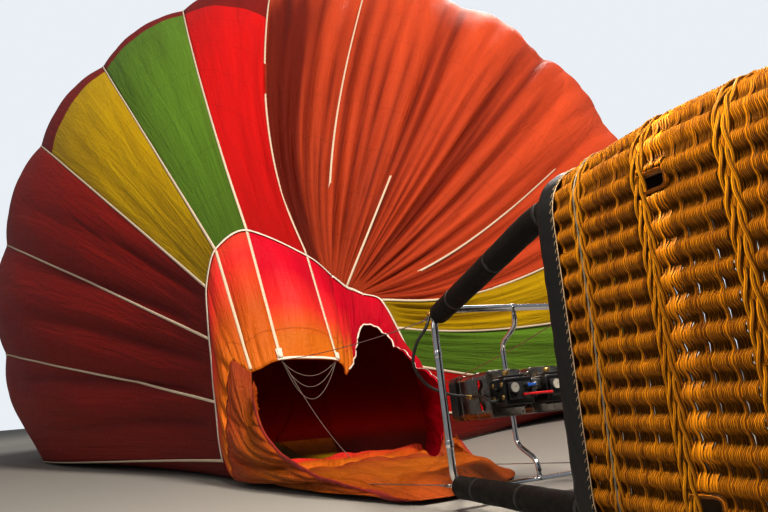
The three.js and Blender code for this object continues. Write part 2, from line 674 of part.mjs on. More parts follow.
// The bowed yoke swivels on the lugs of the frame, and its cross pin carries the two burners
const yokeTop = FRAME.height / 2 - FRAME.tube - LUG.length - 2 * GAP;
const [neck, shoulder] = [yokeTop - YOKE.neck, yokeTop - YOKE.shoulder];
const bow = roundedPath([[0, yokeTop], [0, neck], [YOKE.reach, shoulder], [YOKE.reach, -shoulder],
  [0, -neck], [0, -yokeTop]].map(([y, z]) => new THREE.Vector3(0, y, z)), YOKE.bend);
const pinReach = (CAN.apart - CAN.width) / 2 - GAP;
const crossPin = straightBar(new THREE.Vector3(-pinReach, YOKE.reach, 0),
  new THREE.Vector3(pinReach, YOKE.reach, 0), YOKE.pin);
addMesh(frame, "yoke", joined([bar(bow, YOKE.tube, 30, 8), crossPin]), material("steel", 0.25, 1));

// Burners: an open can round a coil of fuel pipe, and a valve block behind it
function burnerCan() {
  const shape = rectangleRing(CAN.width, CAN.height, CAN.corner, CAN.wall);
  const slots = [-1, 1].map((side) => new THREE.BoxGeometry(6 * CAN.wall, SLOT.width, SLOT.height)
    .translate(side * CAN.width / 2, SLOT.fromBack, 0));
  return cutBy(extrudeBack(shape, CAN.length, CAN.length, 4), slots);
}

function burnerCoil() {
  const profile = [];
  for (let turn = 0; turn < COIL.turns; turn += 1) {
    const y = COIL.from + turn * 2.2 * COIL.tube;
    for (const [dr, dy] of [[COIL.tube, 0], [0, 0.9 * COIL.tube]]) {
      profile.push(new THREE.Vector2(COIL.radius + dr, y + dy));
    }
  }
  const back = profile.map((point) => new THREE.Vector2(2 * COIL.radius - point.x - 6, point.y)).reverse();
  const outline = [...profile, ...back];
  return new THREE.LatheGeometry([...outline, outline[0]], 14);
}

// The coil with its two feed pipes, which come out of the back plate
function coilWithFeeds() {
  const feeds = [-1, 1].map((side) => straightBar(new THREE.Vector3(side * (COIL.radius - 3), 0, 0),
    new THREE.Vector3(side * (COIL.radius - 3), COIL.from + COIL.tube, 0), COIL.tube - 2, 8));
  return joined([burnerCoil(), ...feeds]);
}

function box(width, depth, height, x, y, z) {
  return new THREE.BoxGeometry(width, depth, height).translate(x, y, z);
}

// The back plate, the valve block on it, and the two pipe unions on the side of the block
function valveBlock(side) {
  const plate = box(CAN.width - 8, PLATE, CAN.height - 8, 0, -GAP - PLATE / 2, 0);
  const outline = roundedRectangle(BLOCK.width, BLOCK.height, BLOCK.corner);
  const body = extrudeBack(outline, -PLATE, BLOCK.length, 2);
  const atUnion = (reach, z) => new THREE.Vector3(side * (BLOCK.width / 2 + reach), -BLOCK.length / 2, z);
  const unions = BLOCK.unions.map((z) => (
    straightBar(atUnion(-BLOCK.unionOut, z), atUnion(BLOCK.unionOut, z), BLOCK.union, 6)));
  return joined([plate, body, ...unions]);
}

// On the back of the block: a pressure gauge, a valve under its lever and the post of the blast handle
const ROUND_CONTROLS = [
  // name, x, z, radius, reach
  ["gauge", -48, 18, 31, 34],
  ["valve", 38, 26, 14, 40],
  ["post", 20, -24, 12, 44],
];
function controls() {
  const back = -PLATE - BLOCK.length - GAP;
  const pad = box(150, 8, 96, 0, back - 4, 0);
  const lever = box(64, 10, 14, 58, back - 34, 26);
  const handleAt = (x) => new THREE.Vector3(x, back - 38, -24);
  const handle = straightBar(handleAt(0), handleAt(190), 8, 10);
  const round = ROUND_CONTROLS.map(([, x, z, radius, reach]) => (
    straightBar(new THREE.Vector3(x, back - 4, z), new THREE.Vector3(x, back - reach, z), radius, 16)));
  return joined([pad, lever, handle, ...round]);
}

for (const [side, where] of [[-1, "left"], [1, "right"]]) {
  const pieces = [
    [`burner_can_${where}`, burnerCan(), material("black", 0.3, 0.8)],
    [`burner_coil_${where}`, coilWithFeeds(), material("steel", 0.35, 1)],
    [`valve_block_${where}`, valveBlock(side), material("steel", 0.35, 0.9)],
    [`burner_controls_${where}`, controls(), material("brass", 0.4, 0.6)],
  ];
  for (const [name, geometry, mat] of pieces) {
    addMesh(frame, name, geometry, mat).position.set(side * CAN.apart / 2, 0, 0);
  }
}
const bridgeWidth = CAN.apart - BLOCK.width - 2 * GAP;
addMesh(frame, "burner_bridge", box(bridgeWidth, BRIDGE.depth, BRIDGE.height,
  0, -PLATE - BLOCK.length / 2, BRIDGE.z), material("steel", 0.4, 0.8));

// Flying wires, one from each shackle to the lip of the mouth
const inPart = (point) => onFrame(point.x, point.y, point.z)
  .applyAxisAngle(new THREE.Vector3(0, 0, 1), basket.rotation.z).add(basket.position);
for (const [sx, sz, where] of CORNERS) {
  const far = SHACKLE.seat + 2 * SHACKLE.length * (1 + SHACKLE.wire / SHACKLE.radius);
  const start = inPart(new THREE.Vector3(sx * (FRAME.width / 2 - SHACKLE.corner), far + 3 * GAP,
    sz * (FRAME.height / 2 - SHACKLE.corner)));
  const lip = alongRows(lipRows, WIRE_SEAM[where]);
  const lift = new THREE.Vector3(0, 0, sz < 0 ? CLOTH + WIRE.radius : 0);
  const end = lip.clone().lerp(start, WIRE.short).add(lift);
  const sag = start.clone().lerp(end, 0.5).add(new THREE.Vector3(0, 0, sz > 0 ? -WIRE.sag : 0));
  const wire = new THREE.QuadraticBezierCurve3(start, sag, end);
  addMesh(part, `flying_wire_${where}`, bar(wire, WIRE.radius, 10, 6), material("wire", 0.4, 0.8));
}

export default part;
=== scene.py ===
# %% [markdown]
# # A hot air balloon on the ground, ready to be filled
# The basket lies on one side with its burner frame in front of it, and the cloth envelope lies behind with
# its mouth held open, half full of cold air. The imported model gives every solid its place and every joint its
# axis. This lesson dresses those solids with cloth, woven cane, leather and polished steel.

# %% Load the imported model
import math

import bpy
import numpy as np
from mathutils import Matrix, Vector


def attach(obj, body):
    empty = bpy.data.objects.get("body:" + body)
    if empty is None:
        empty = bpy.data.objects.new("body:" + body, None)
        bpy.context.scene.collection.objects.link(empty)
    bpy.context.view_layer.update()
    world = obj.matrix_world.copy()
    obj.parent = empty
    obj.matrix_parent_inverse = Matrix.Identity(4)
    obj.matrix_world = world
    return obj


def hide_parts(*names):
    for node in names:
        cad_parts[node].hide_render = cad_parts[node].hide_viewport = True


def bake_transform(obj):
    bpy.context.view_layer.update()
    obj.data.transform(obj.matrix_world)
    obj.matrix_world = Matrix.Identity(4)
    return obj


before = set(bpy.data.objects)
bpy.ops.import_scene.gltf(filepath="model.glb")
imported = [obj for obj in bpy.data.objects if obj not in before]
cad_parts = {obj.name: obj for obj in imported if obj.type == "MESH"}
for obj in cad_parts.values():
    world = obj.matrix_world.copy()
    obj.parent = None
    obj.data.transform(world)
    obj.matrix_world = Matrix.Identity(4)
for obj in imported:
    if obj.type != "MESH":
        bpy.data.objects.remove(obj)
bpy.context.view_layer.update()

# %% [markdown]
# ## The camera
# The photo was taken from low down with a normal wide lens, a little rolled to one side. A camera is an
# object whose own -Z looks forward and whose +Y is up, so three directions make its rotation.

# %% Camera
LENS_MM = 30.88
CAMERA = {"place": (-0.553, -11.938, 0.631), "pitch": 11.717, "roll": 4.983, "heading": 5.908}


def aim_camera():
    pitch, roll, heading = (math.radians(CAMERA[k]) for k in ("pitch", "roll", "heading"))
    forward = Vector((0, math.cos(pitch), math.sin(pitch)))
    level, down = Vector((1, 0, 0)), Vector((0, math.sin(pitch), -math.cos(pitch)))
    right = math.cos(roll) * level + math.sin(roll) * down
    up = math.sin(roll) * level - math.cos(roll) * down
    turn = Matrix.Rotation(-heading, 3, "Z")
    columns = [turn @ right, turn @ up, turn @ -forward]
    rotation = Matrix([[c[row] for c in columns] for row in range(3)])
    return Matrix.Translation(CAMERA["place"]) @ rotation.to_4x4()


bpy.ops.object.camera_add()
camera = bpy.context.object
camera.data.lens = LENS_MM
camera.data.sensor_width = 36
camera.data.clip_end = 300
camera.matrix_world = aim_camera()
bpy.context.scene.camera = camera
print("camera at", [round(v, 2) for v in camera.location])

# %% [markdown]
# ## Floor and light
# A floor and an even backdrop stand for the studio. The camera sees the backdrop bright, but only a weak
# part of it lights the scene, so the folds stay deep. One strong light stands high at the right and another
# behind the envelope. A weak one at the left and a small one above the basket fill the shadows, and a dim one
# inside the envelope stands for the daylight that comes through the cloth.

# %% Floor, backdrop and lights
FLOOR = {"size": 160, "place": (0, 20, -0.012), "colour": (0.30, 0.285, 0.26, 1), "roughness": 0.9}
BACKDROP = {"colour": (0.84, 0.88, 0.92, 1), "as_light": 0.25, "to_camera": 0.76}
EXPOSURE, GAMMA = 0.40, 0.87

bpy.ops.mesh.primitive_plane_add(size=FLOOR["size"], location=FLOOR["place"])
floor = bpy.context.object
floor.name = "studio_floor"
paint = bpy.data.materials.new("floor_paint")
paint.use_nodes = True
paint_inputs = paint.node_tree.nodes["Principled BSDF"].inputs
paint_inputs["Base Color"].default_value = FLOOR["colour"]
paint_inputs["Roughness"].default_value = FLOOR["roughness"]
floor.data.materials.append(paint)

world = bpy.data.worlds.new("even_backdrop")
bpy.context.scene.world = world
world.use_nodes = True
nodes, links = world.node_tree.nodes, world.node_tree.links
seen = nodes.new("ShaderNodeLightPath").outputs["Is Camera Ray"]
strength = nodes.new("ShaderNodeMapRange")
strength.inputs["To Min"].default_value = BACKDROP["as_light"]
strength.inputs["To Max"].default_value = BACKDROP["to_camera"]
links.new(seen, strength.inputs["Value"])
nodes["Background"].inputs["Color"].default_value = BACKDROP["colour"]
links.new(strength.outputs["Result"], nodes["Background"].inputs["Strength"])

LIGHTS = [
    # name, place, looks at, size, watts, colour
    ("key", (8, -21, 22), (0, -3, 2.0), 5, 6200, (1.0, 0.93, 0.84)),
    ("side", (-16, -14, 9), (-1, -4, 1.5), 6, 250, (1.0, 0.94, 0.88)),
    ("back", (9, 20, 24), (0, 3, 5), 10, 5200, (1.0, 0.95, 0.90)),
    ("above basket", (-0.5, -10.9, 3.3), (0.7, -9.7, 1.3), 0.6, 150, (1.0, 0.90, 0.76)),
    ("inside", (0.2, 1.4, 4.6), (0.2, 3.0, 0.0), 3.0, 70, (1.0, 0.34, 0.26)),
]
for name, place, target, size, watts, colour in LIGHTS:
    bpy.ops.object.light_add(type="AREA", location=place)
    light = bpy.context.object
    light.name = name
    light.data.size = size
    light.data.energy = watts
    light.data.color = colour
    light.rotation_euler = (Vector(target) - Vector(place)).to_track_quat("-Z", "Y").to_euler()
view = bpy.context.scene.view_settings
view.view_transform = "Standard"
view.exposure, view.gamma = EXPOSURE, GAMMA
print("floor and", len(LIGHTS), "lights")

# %% [markdown]
# ## Helpers for shaping
# A grid primitive is a piece of flat cloth. A function then says where each of its corners goes, as a tailor
# pins cloth to a form, and Solidify gives it a thickness. A torus primitive is a ready closed tube, and the
# same way of placing its corners bends it round a basket or a frame. A curve with a bevel is an open tube.

# %% Shaping helpers
PIECES, FINISH = [], {}


def named(piece, name):
    piece.name = piece.data.name = name
    return piece


def added(name, operator, **settings):
    """A primitive of Blender's, at the middle of the world, under its own name."""
    bpy.ops.object.select_all(action="DESELECT")
    operator(location=(0, 0, 0), **settings)
    return named(bpy.context.object, name)


def only(piece):
    bpy.ops.object.select_all(action="DESELECT")
    piece.select_set(True)
    bpy.context.view_layer.objects.active = piece
    return piece


def corners_of(mesh):
    flat = np.empty(len(mesh.vertices) * 3)
    mesh.vertices.foreach_get("co", flat)
    return flat.reshape(-1, 3)


def put_corners(mesh, points):
    mesh.vertices.foreach_set("co", np.ascontiguousarray(points, dtype=np.float64).ravel())
    mesh.update()


def put_uvs(mesh, per_corner):
    layer = mesh.uv_layers.active or mesh.uv_layers.new(name="UVMap")
    used = np.empty(len(mesh.loops), dtype=np.int64)
    mesh.loops.foreach_get("vertex_index", used)
    layer.data.foreach_set("uv", np.ascontiguousarray(per_corner[used], dtype=np.float32).ravel())


def columns(*values):
    """One row of numbers for each corner."""
    return np.stack(np.broadcast_arrays(*values), 1)


def welded(piece, distance=0.0, outwards=True):
    """Joins corners that lie closer than a distance, and can turn all faces outwards."""
    only(piece)
    bpy.ops.object.mode_set(mode="EDIT")
    bpy.ops.mesh.select_all(action="SELECT")
    if distance:
        bpy.ops.mesh.remove_doubles(threshold=distance)
    if outwards:
        bpy.ops.mesh.normals_make_consistent(inside=False)
    bpy.ops.object.mode_set(mode="OBJECT")
    return piece


def modified(piece, kind, **settings):
    only(piece)
    modifier = piece.modifiers.new(kind.lower(), kind)
    for key, value in settings.items():
        setattr(modifier, key, value)
    bpy.ops.object.modifier_apply(modifier=modifier.name)
    return piece


def smooth(piece, degrees=None):
    only(piece)
    if degrees is None:
        bpy.ops.object.shade_smooth()
    else:
        bpy.ops.object.shade_smooth_by_angle(angle=math.radians(degrees))
    return piece


def mark_corners(piece, label, values):
    layer = piece.data.attributes.new(label, "FLOAT", "POINT")
    layer.data.foreach_set("value", np.clip(values, 0, 1).astype(np.float32))
    return piece


def cloth_grid(name, across, along, place, thickness=0.004, flip=True, gathered=None):
    """place(fx, fy) gives points, and texture metres, for fractions across and along the cloth."""
    piece = added(name, bpy.ops.mesh.primitive_grid_add, x_subdivisions=across, y_subdivisions=along, size=1)
    fx, fy = corners_of(piece.data)[:, :2].T + 0.5
    points, metres = place(fx, fy)
    put_corners(piece.data, points)
    put_uvs(piece.data, metres)
    # gathered gives each corner its painted shade in folds.
    if gathered is not None:
        mark_corners(piece, "gathered", gathered(fx, fy))
    if flip:
        piece.data.flip_normals()
    if thickness:
        modified(piece, "SOLIDIFY", thickness=thickness, offset=-1)
    return smooth(piece)


def ring_tube(name, around, sides, place):
    """place(turn, side) gives points for fractions round the loop and round the tube."""
    piece = added(name, bpy.ops.mesh.primitive_torus_add, major_segments=around, minor_segments=sides,
                  major_radius=1, minor_radius=0.25)
    x, y, z = corners_of(piece.data).T
    turn = np.arctan2(y, x) / (2 * math.pi) % 1
    side = np.arctan2(z, np.hypot(x, y) - 1) / (2 * math.pi) % 1
    points, metres = place(np.round(turn * around) % around / around, np.round(side * sides) % sides / sides)
    put_corners(piece.data, points)
    put_uvs(piece.data, metres)
    return smooth(piece)


def bent_tube(name, points, radius, sides=16):
    """An open tube through points, closed at its ends, as a bevelled curve made into a mesh."""
    piece = added(name, bpy.ops.curve.primitive_bezier_curve_add)
    piece.data.splines.clear()
    spline = piece.data.splines.new("POLY")
    spline.points.add(len(points) - 1)
    for knot, point in zip(spline.points, points):
        knot.co = (*point, 1)
        knot.radius = 1
    piece.data.bevel_depth = radius
    piece.data.bevel_resolution = max(0, sides // 4 - 1)
    piece.data.use_fill_caps = True
    only(piece)
    bpy.ops.object.convert(target="MESH")
    return smooth(bpy.context.object, 50)


def profile_point(knots, side, closed=True):
    """The place at a fraction of the way round a profile, or along an open one."""
    knots = np.asarray(knots)
    last = len(knots) if closed else len(knots) - 1
    low = np.minimum(np.floor(side * last + 1e-6).astype(int), last - 1)
    part = (side * last - low)[:, None]
    return (knots[low] * (1 - part) + knots[(low + 1) % len(knots)] * part).T


def turned(knots, closed=True):
    """Places for a body turned about its upright axis. knots: distance from the axis, and height."""
    def place(turn, side):
        radius, height = profile_point(knots, side, closed)
        angle = 2 * math.pi * turn
        return columns(radius * np.cos(angle), height, radius * np.sin(angle)), columns(turn, side)
    return place


def squared(angle, power):
    """How much farther out a squared ring lies than a round one."""
    return (np.abs(np.cos(angle)) ** power + np.abs(np.sin(angle)) ** power) ** (-1 / power)


def length_round(half_x, half_z, corner):
    return 4 * ((half_x - corner) + (half_z - corner) + 0.5 * math.pi * corner)


def rounded_rectangle(metres, half_x, half_z, corner):
    """x, z and the outward direction, so many metres round from the middle of the right side."""
    cx, cz, quarter = half_x - corner, half_z - corner, 0.5 * math.pi * corner
    legs = [cz, quarter, 2 * cx, quarter, 2 * cz, quarter, 2 * cx, quarter, cz]
    corners = [(cx, cz), (-cx, cz), (-cx, -cz), (cx, -cz)]
    middles = [(cx, 0)] + [middle for middle in corners for leg in range(2)]
    x, z, nx, nz = (np.zeros_like(metres) for _ in range(4))
    start, angle = 0.0, 0.0
    for leg, (length, (mx, mz)) in enumerate(zip(legs, middles)):
        here = (metres >= start - 1e-9) & (metres <= start + length + 1e-9)
        t = metres[here] - start
        facing = angle + t / corner if leg % 2 else np.full_like(t, angle)
        nx[here], nz[here] = np.cos(facing), np.sin(facing)
        x[here], z[here] = mx + corner * nx[here], mz + corner * nz[here]
        if leg % 2:
            angle += 0.5 * math.pi
        else:
            x[here] -= t * math.sin(angle)
            z[here] += t * math.cos(angle)
        start += length
    return x, z, nx, nz


def rounded_route(points, radius, steps=6):
    """Straight runs through points, with each inner corner rounded."""
    points = [Vector(p) for p in points]
    route = [points[0]]
    for before, corner, after in zip(points, points[1:], points[2:]):
        start = corner + (before - corner).normalized() * radius
        end = corner + (after - corner).normalized() * radius
        for n in range(steps + 1):
            t = n / steps
            route.append((1 - t) ** 2 * start + 2 * t * (1 - t) * corner + t * t * end)
    return route + [points[-1]]


def soft_route(points, steps=8):
    """A smooth curve through points."""
    points = [Vector(p) for p in points]
    padded = [2 * points[0] - points[1], *points, 2 * points[-1] - points[-2]]
    route = []
    for a, b, c, d in zip(padded, padded[1:], padded[2:], padded[3:]):
        for n in range(steps):
            t = n / steps
            route.append(0.5 * (2 * b + (c - a) * t + (2 * a - 5 * b + 4 * c - d) * t * t
                                + (3 * b - a - 3 * c + d) * t ** 3))
    return route + [points[-1]]


def block(name, size, place=(0, 0, 0), bevel=0.004, segments=3):
    """A block with rounded edges."""
    piece = added(name, bpy.ops.mesh.primitive_cube_add, size=1)
    put_corners(piece.data, corners_of(piece.data) * np.array(size) + np.array(place))
    modified(piece, "BEVEL", width=bevel, segments=segments)
    return smooth(piece, 40)


def drum(name, radius, start, end, sides=32, bevel=0.002):
    """A round bar from start to end with rounded edges."""
    start, end = Vector(start), Vector(end)
    depth = (end - start).length
    piece = added(name, bpy.ops.mesh.primitive_cylinder_add, vertices=sides, radius=radius, depth=depth)
    if bevel:
        modified(piece, "BEVEL", width=bevel, segments=2, limit_method="ANGLE")
    turn = (end - start).to_track_quat("Z", "Y").to_matrix().to_4x4()
    piece.data.transform(Matrix.Translation((start + end) / 2) @ turn)
    return smooth(piece, 40)


def join(name, parts):
    bpy.ops.object.select_all(action="DESELECT")
    for each in parts:
        each.select_set(True)
    bpy.context.view_layer.objects.active = parts[0]
    if len(parts) > 1:
        bpy.ops.object.join()
    return named(bpy.context.object, name)


def placed(piece, matrix):
    piece.data.transform(matrix)
    piece.data.update()
    return piece


def finish_piece(piece, finish, body="balloon", stands_for=()):
    piece.data.materials.clear()
    piece.data.materials.append(FINISH[finish])
    if body:
        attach(piece, body)
    if stands_for:
        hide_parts(*stands_for)
    PIECES.append(piece.name)
    return piece


def assembled(name, parts, spot, finish, body="balloon", stands_for=()):
    """Joins parts into one finished piece and moves it to its spot."""
    return finish_piece(placed(join(name, parts), spot), finish, body, stands_for)


print("helpers ready")

# %% [markdown]
# ## The form of the envelope
# An envelope is sewn from long gores, each running from the mouth to the crown, with a load tape in every
# seam. Here each point of it has two numbers: its seam, counted over the top from the right, and how far
# along it lies: -2 at the scoop's edge, -1 at the lip of the mouth, 0 at the mouth tape, 1 at the widest
# place and 2 at the crown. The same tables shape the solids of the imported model.

# %% Tables and curves of the envelope, in metres
GORES = 24
LEFT_GROUND, RIGHT_GROUND = 12, -1
WIDEST = {"x": 0.378, "y": 7.6, "z": 3.152, "radius": 6.543}
CROWN = {"x": -0.25, "y": 16.0, "z": 4.3, "radius": 1.9, "first_seam": -6.5}
MIDDLE = np.array([0.378, 5.744, 0])
SWAYS = [(-1, 3.6, 0, -0.42), (4, 7.4, -0.35, 0)]   # first and last seam, how far aside and down

MOUTH_ROWS = np.array([
    # seam, x, y, z
    [-1, 0.80, 1.08, 0.90], [0, 0.64, 1.02, 1.32], [1, 0.48, 0.95, 1.63], [2, 0.29, 0.92, 1.70],
    [3, 0.19, 0.88, 1.75], [4, 0.11, 0.79, 1.77], [5, -0.04, 0.61, 1.87], [6, -0.28, 0.33, 2.04],
    [7, -0.84, 0.10, 2.28], [8, -1.12, -0.02, 2.08], [9, -1.20, -0.07, 1.72], [10, -1.18, -0.12, 1.24],
    [11, -1.14, -0.16, 0.68], [12, -1.09, -0.16, 0.18], [13, -0.93, -0.12, 0], [17, -0.06, 0.30, 0],
    [21, 0.76, 0.82, 0], [22, 0.85, 1.00, 0.38], [23, 0.80, 1.08, 0.90],
])
LIP_ROWS = np.array([
    # seam, x, y, z
    [-1, 0.83, -0.28, 0.66], [0, 0.56, 0.30, 1.03], [1, 0.40, 0.64, 1.29], [2, 0.25, 0.64, 1.33],
    [3, 0.17, 0.52, 1.18], [4, 0.11, 0.30, 0.96], [5, 0.02, 0.04, 0.83], [6, -0.06, -0.19, 0.95],
    [7, -0.54, -0.44, 0.98], [8, -0.79, -0.46, 0.90], [9, -0.96, -0.42, 1.01], [10, -1.01, -0.43, 0.64],
    [11, -1.01, -0.47, 0.30], [12, -0.96, -0.50, 0.06], [13, -0.82, -0.48, 0], [17, -0.10, -0.56, 0],
    [21, 0.64, -0.56, 0], [22, 0.80, -0.48, 0.33], [23, 0.83, -0.28, 0.66],
])
SCOOP_ROWS = np.array([
    # seam, x, y, z
    [7, -0.56, -0.48, 0.96], [8, -0.76, -0.62, 0.82], [9, -0.68, -0.94, 0.47], [10, -0.50, -1.28, 0.26],
    [11, -0.24, -1.64, 0.13], [12, 0.06, -1.98, 0.06], [13, 0.32, -2.28, 0.012], [15, 0.76, -2.06, 0],
    [17, 1.06, -1.60, 0], [19, 1.12, -1.18, 0], [21, 1.01, -0.80, 0], [22, 0.88, -0.56, 0.25],
    [23, 0.84, -0.30, 0.64],
])


def smoothstep(low, high, value):
    t = np.clip((value - low) / (high - low), 0, 1)
    return t * t * (3 - 2 * t)


def window(value, rise, fall):
    """0, then 1 from the end of the rise to the start of the fall, then 0 again."""
    return smoothstep(*rise, value) * (1 - smoothstep(*fall, value))


def between_seams(seam):
    """0 at each seam and 1 in the middle of a gore."""
    return 1 - (2 * (seam - np.floor(seam)) - 1) ** 2


def along_rows(rows, seam):
    last = len(rows) - 1
    i = np.clip(np.searchsorted(rows[:, 0], seam, side="left") - 1, 0, last - 1)
    t = ((seam - rows[i, 0]) / (rows[i + 1, 0] - rows[i, 0]))[:, None]
    p0, p1, p2, p3 = (rows[np.clip(i + k, 0, last), 1:] for k in (-1, 0, 1, 2))
    m1, m2 = (p2 - p0) / 2.6, (p3 - p1) / 2.6
    t2, t3 = t * t, t * t * t
    found = (2 * t3 - 3 * t2 + 1) * p1 + (t3 - 2 * t2 + t) * m1
    found += (3 * t2 - 2 * t3) * p2 + (t3 - t2) * m2
    found[:, 2] = np.maximum(found[:, 2], 0)
    return found


def widest_point(seam):
    low = math.asin(-WIDEST["z"] / WIDEST["radius"])
    angle = low + (math.pi - 2 * low) * (seam - RIGHT_GROUND) / (LEFT_GROUND - RIGHT_GROUND)
    under = seam >= LEFT_GROUND
    across = (seam - LEFT_GROUND) / (RIGHT_GROUND + GORES - LEFT_GROUND)
    x = np.where(under, math.cos(low) * (2 * across - 1), np.cos(angle)) * WIDEST["radius"] + WIDEST["x"]
    z = np.where(under, 0, np.maximum(WIDEST["z"] + WIDEST["radius"] * np.sin(angle), 0))
    return columns(x, WIDEST["y"], z)


def swayed(point, seam, along):
    reach = np.sin(math.pi * np.clip(along, 0, 1) ** 0.6) ** 2
    for first, last, x, z in SWAYS:
        push = reach * np.sin(math.pi * np.clip((seam - first) / (last - first), 0, 1)) ** 2
        point[:, 0] += x * push
        point[:, 2] = np.maximum(point[:, 2] + z * push, 0)
    return point


def crown_point(seam, radius=None):
    radius = CROWN["radius"] if radius is None else radius
    angle = 1.5 * math.pi + 2 * math.pi * (seam - CROWN["first_seam"]) / GORES
    return columns(CROWN["x"] + radius * np.cos(angle), CROWN["y"], CROWN["z"] + radius * np.sin(angle))


def bezier(a, b, c, d, t):
    t = t[:, None]
    return (1 - t) ** 3 * a + 3 * (1 - t) ** 2 * t * b + 3 * (1 - t) * t * t * c + t ** 3 * d


def envelope_point(seam, along):
    seam, along = np.broadcast_arrays(np.asarray(seam, float), np.asarray(along, float))
    seam = np.where(seam < RIGHT_GROUND, seam + GORES, seam)
    seam = np.where(seam > RIGHT_GROUND + GORES, seam - GORES, seam)
    mouth, lip, edge = (along_rows(rows, seam) for rows in (MOUTH_ROWS, LIP_ROWS, SCOOP_ROWS))
    widest, crown = widest_point(seam), crown_point(seam)
    first = bezier(mouth, mouth + 0.3 * (widest - mouth), widest - [0, 0.36 * WIDEST["y"], 0], widest,
                   np.clip(along, 0, 1))
    first = swayed(first, seam, along)
    towards = crown + 0.55 * (widest * [1, 0, 1] + [0, CROWN["y"], 0] - crown)
    second = bezier(widest, widest + [0, 0.5 * (CROWN["y"] - WIDEST["y"]), 0], towards, crown,
                    np.clip(along - 1, 0, 1))
    panel = mouth + np.clip(-along, 0, 1)[:, None] * (lip - mouth)
    beyond = np.clip(-1 - along, 0, 1)
    scoop = lip + beyond[:, None] * (edge - lip)
    scoop[:, 2] *= 1 - 0.35 * np.sin(math.pi * beyond)
    which = along[:, None]
    point = np.where(which > 1, second, np.where(which >= 0, first, np.where(which >= -1, panel, scoop)))
    return point - MIDDLE


def outward_and_width(seam, along):
    """The outward direction, and how many metres one gore is wide there."""
    ds, da = 0.02, 0.01
    held = np.clip(along, -1.99, 2 - 2 * da)
    across = envelope_point(seam + ds, held) - envelope_point(seam - ds, held)
    down = envelope_point(seam, held + da) - envelope_point(seam, held - da)
    out = np.cross(down, across)
    out /= np.maximum(np.linalg.norm(out, axis=1, keepdims=True), 1e-9)
    return out, np.linalg.norm(across, axis=1) / (2 * ds)


check = envelope_point(np.array([3.0, 7.5, 12.0]), np.array([0.5, 1.0, 1.5]))
print("three points of the envelope", np.round(check, 2).tolist())

# %% [markdown]
# ## Fullness and folds
# Air pushes each gore out between its tapes, and where the envelope isn't full yet the spare cloth gathers in
# folds that run from the mouth towards the widest place. A rounded ridge between two sharp valleys, repeated
# at three sizes, gives that look. The folds are deep at the right, where the mouth is gathered, and shallow
# at the left, where the cloth is tight.

# %% Fullness and folds
def ridge(turns, sharp=0.62):
    return np.abs(np.sin(math.pi * turns)) ** sharp


def slack_part(seam):
    """1 at the right, where the cloth is gathered, to 0 at the left, where it is tight."""
    return 1 - smoothstep(5.6, 6.6, seam)


def airborne_part(seam):
    """1 over the top, where air holds the cloth up, to 0 where it lies on the ground."""
    return window(seam, (-1.0, 0.2), (11.2, 12.0))


def main_pleats(seam, along):
    return ridge(2 * seam + 0.12 * np.sin(2.3 * along + seam))


def fine_pleats(seam, along):
    return ridge(5.0 * seam + 0.3 * np.sin(2 * seam + 5 * along))


def near_mouth(along):
    return window(along, (0, 0.05), (0.12, 0.42))


def gore_fullness(seam, along):
    """The bulge and the main pleats, as a part of the gore's width."""
    bulge = 0.06 * between_seams(seam) * window(along, (0.02, 0.5), (1.75, 2.0))
    depth = (0.065 * slack_part(seam) + 0.016) * window(along, (0.05, 0.2), (0.35, 0.85))
    return airborne_part(seam) * (bulge + depth * (main_pleats(seam, along) - 0.75))


CREASES = [
    # seam where it starts, seam where it ends, from, to, depth in metres, width in seams, wave
    (0.35, 0.42, 0.02, 0.62, 0.05, 0.050, 0.4), (0.72, 0.66, 0.02, 0.50, 0.06, 0.050, 1.9),
    (1.14, 1.18, 0.01, 0.66, 0.07, 0.045, 2.2), (1.55, 1.60, 0.01, 0.86, 0.09, 0.050, 0.2),
    (1.80, 1.88, 0.01, 0.70, 0.08, 0.040, 5.1), (2.28, 2.14, 0.01, 0.62, 0.08, 0.045, 3.0),
    (2.62, 2.70, 0.02, 0.78, 0.10, 0.055, 1.2), (2.92, 2.95, 0.02, 1.02, 0.13, 0.045, 0.1),
    (3.10, 3.16, 0.02, 0.98, 0.12, 0.050, 4.4), (3.42, 3.34, 0.01, 0.66, 0.09, 0.045, 2.8),
    (3.66, 3.74, 0.02, 0.52, 0.06, 0.040, 5.9), (3.90, 3.93, 0.01, 1.06, 0.14, 0.050, 3.3),
    (4.10, 4.12, 0.01, 0.90, 0.10, 0.040, 1.6), (4.30, 4.38, 0.01, 0.70, 0.09, 0.040, 0.8),
    (4.48, 4.58, 0.01, 0.60, 0.07, 0.035, 2.6), (4.66, 4.72, 0.01, 0.76, 0.10, 0.040, 4.0),
    (4.86, 4.93, 0.01, 0.92, 0.12, 0.040, 5.3), (5.16, 5.10, 0.01, 0.80, 0.10, 0.040, 0.6),
    (5.40, 5.34, 0.01, 1.10, 0.13, 0.045, 3.7), (5.62, 5.56, 0.02, 0.84, 0.10, 0.040, 1.1),
    (5.84, 5.78, 0.02, 1.20, 0.12, 0.045, 2.0), (6.14, 6.08, 0.05, 0.62, 0.04, 0.040, 4.9),
    (6.55, 6.30, 0.05, 0.48, 0.025, 0.060, 0.9), (8.80, 8.70, 0.02, 0.55, 0.02, 0.050, 2.4),
    (9.30, 9.55, 0.02, 0.60, 0.05, 0.060, 1.7), (9.85, 10.2, 0.05, 0.72, 0.06, 0.070, 3.5),
    (10.4, 10.6, 0.02, 0.66, 0.06, 0.060, 0.5), (10.9, 11.3, 0.02, 0.80, 0.07, 0.070, 4.6),
    (11.4, 11.7, 0.02, 0.60, 0.06, 0.060, 2.9),
]


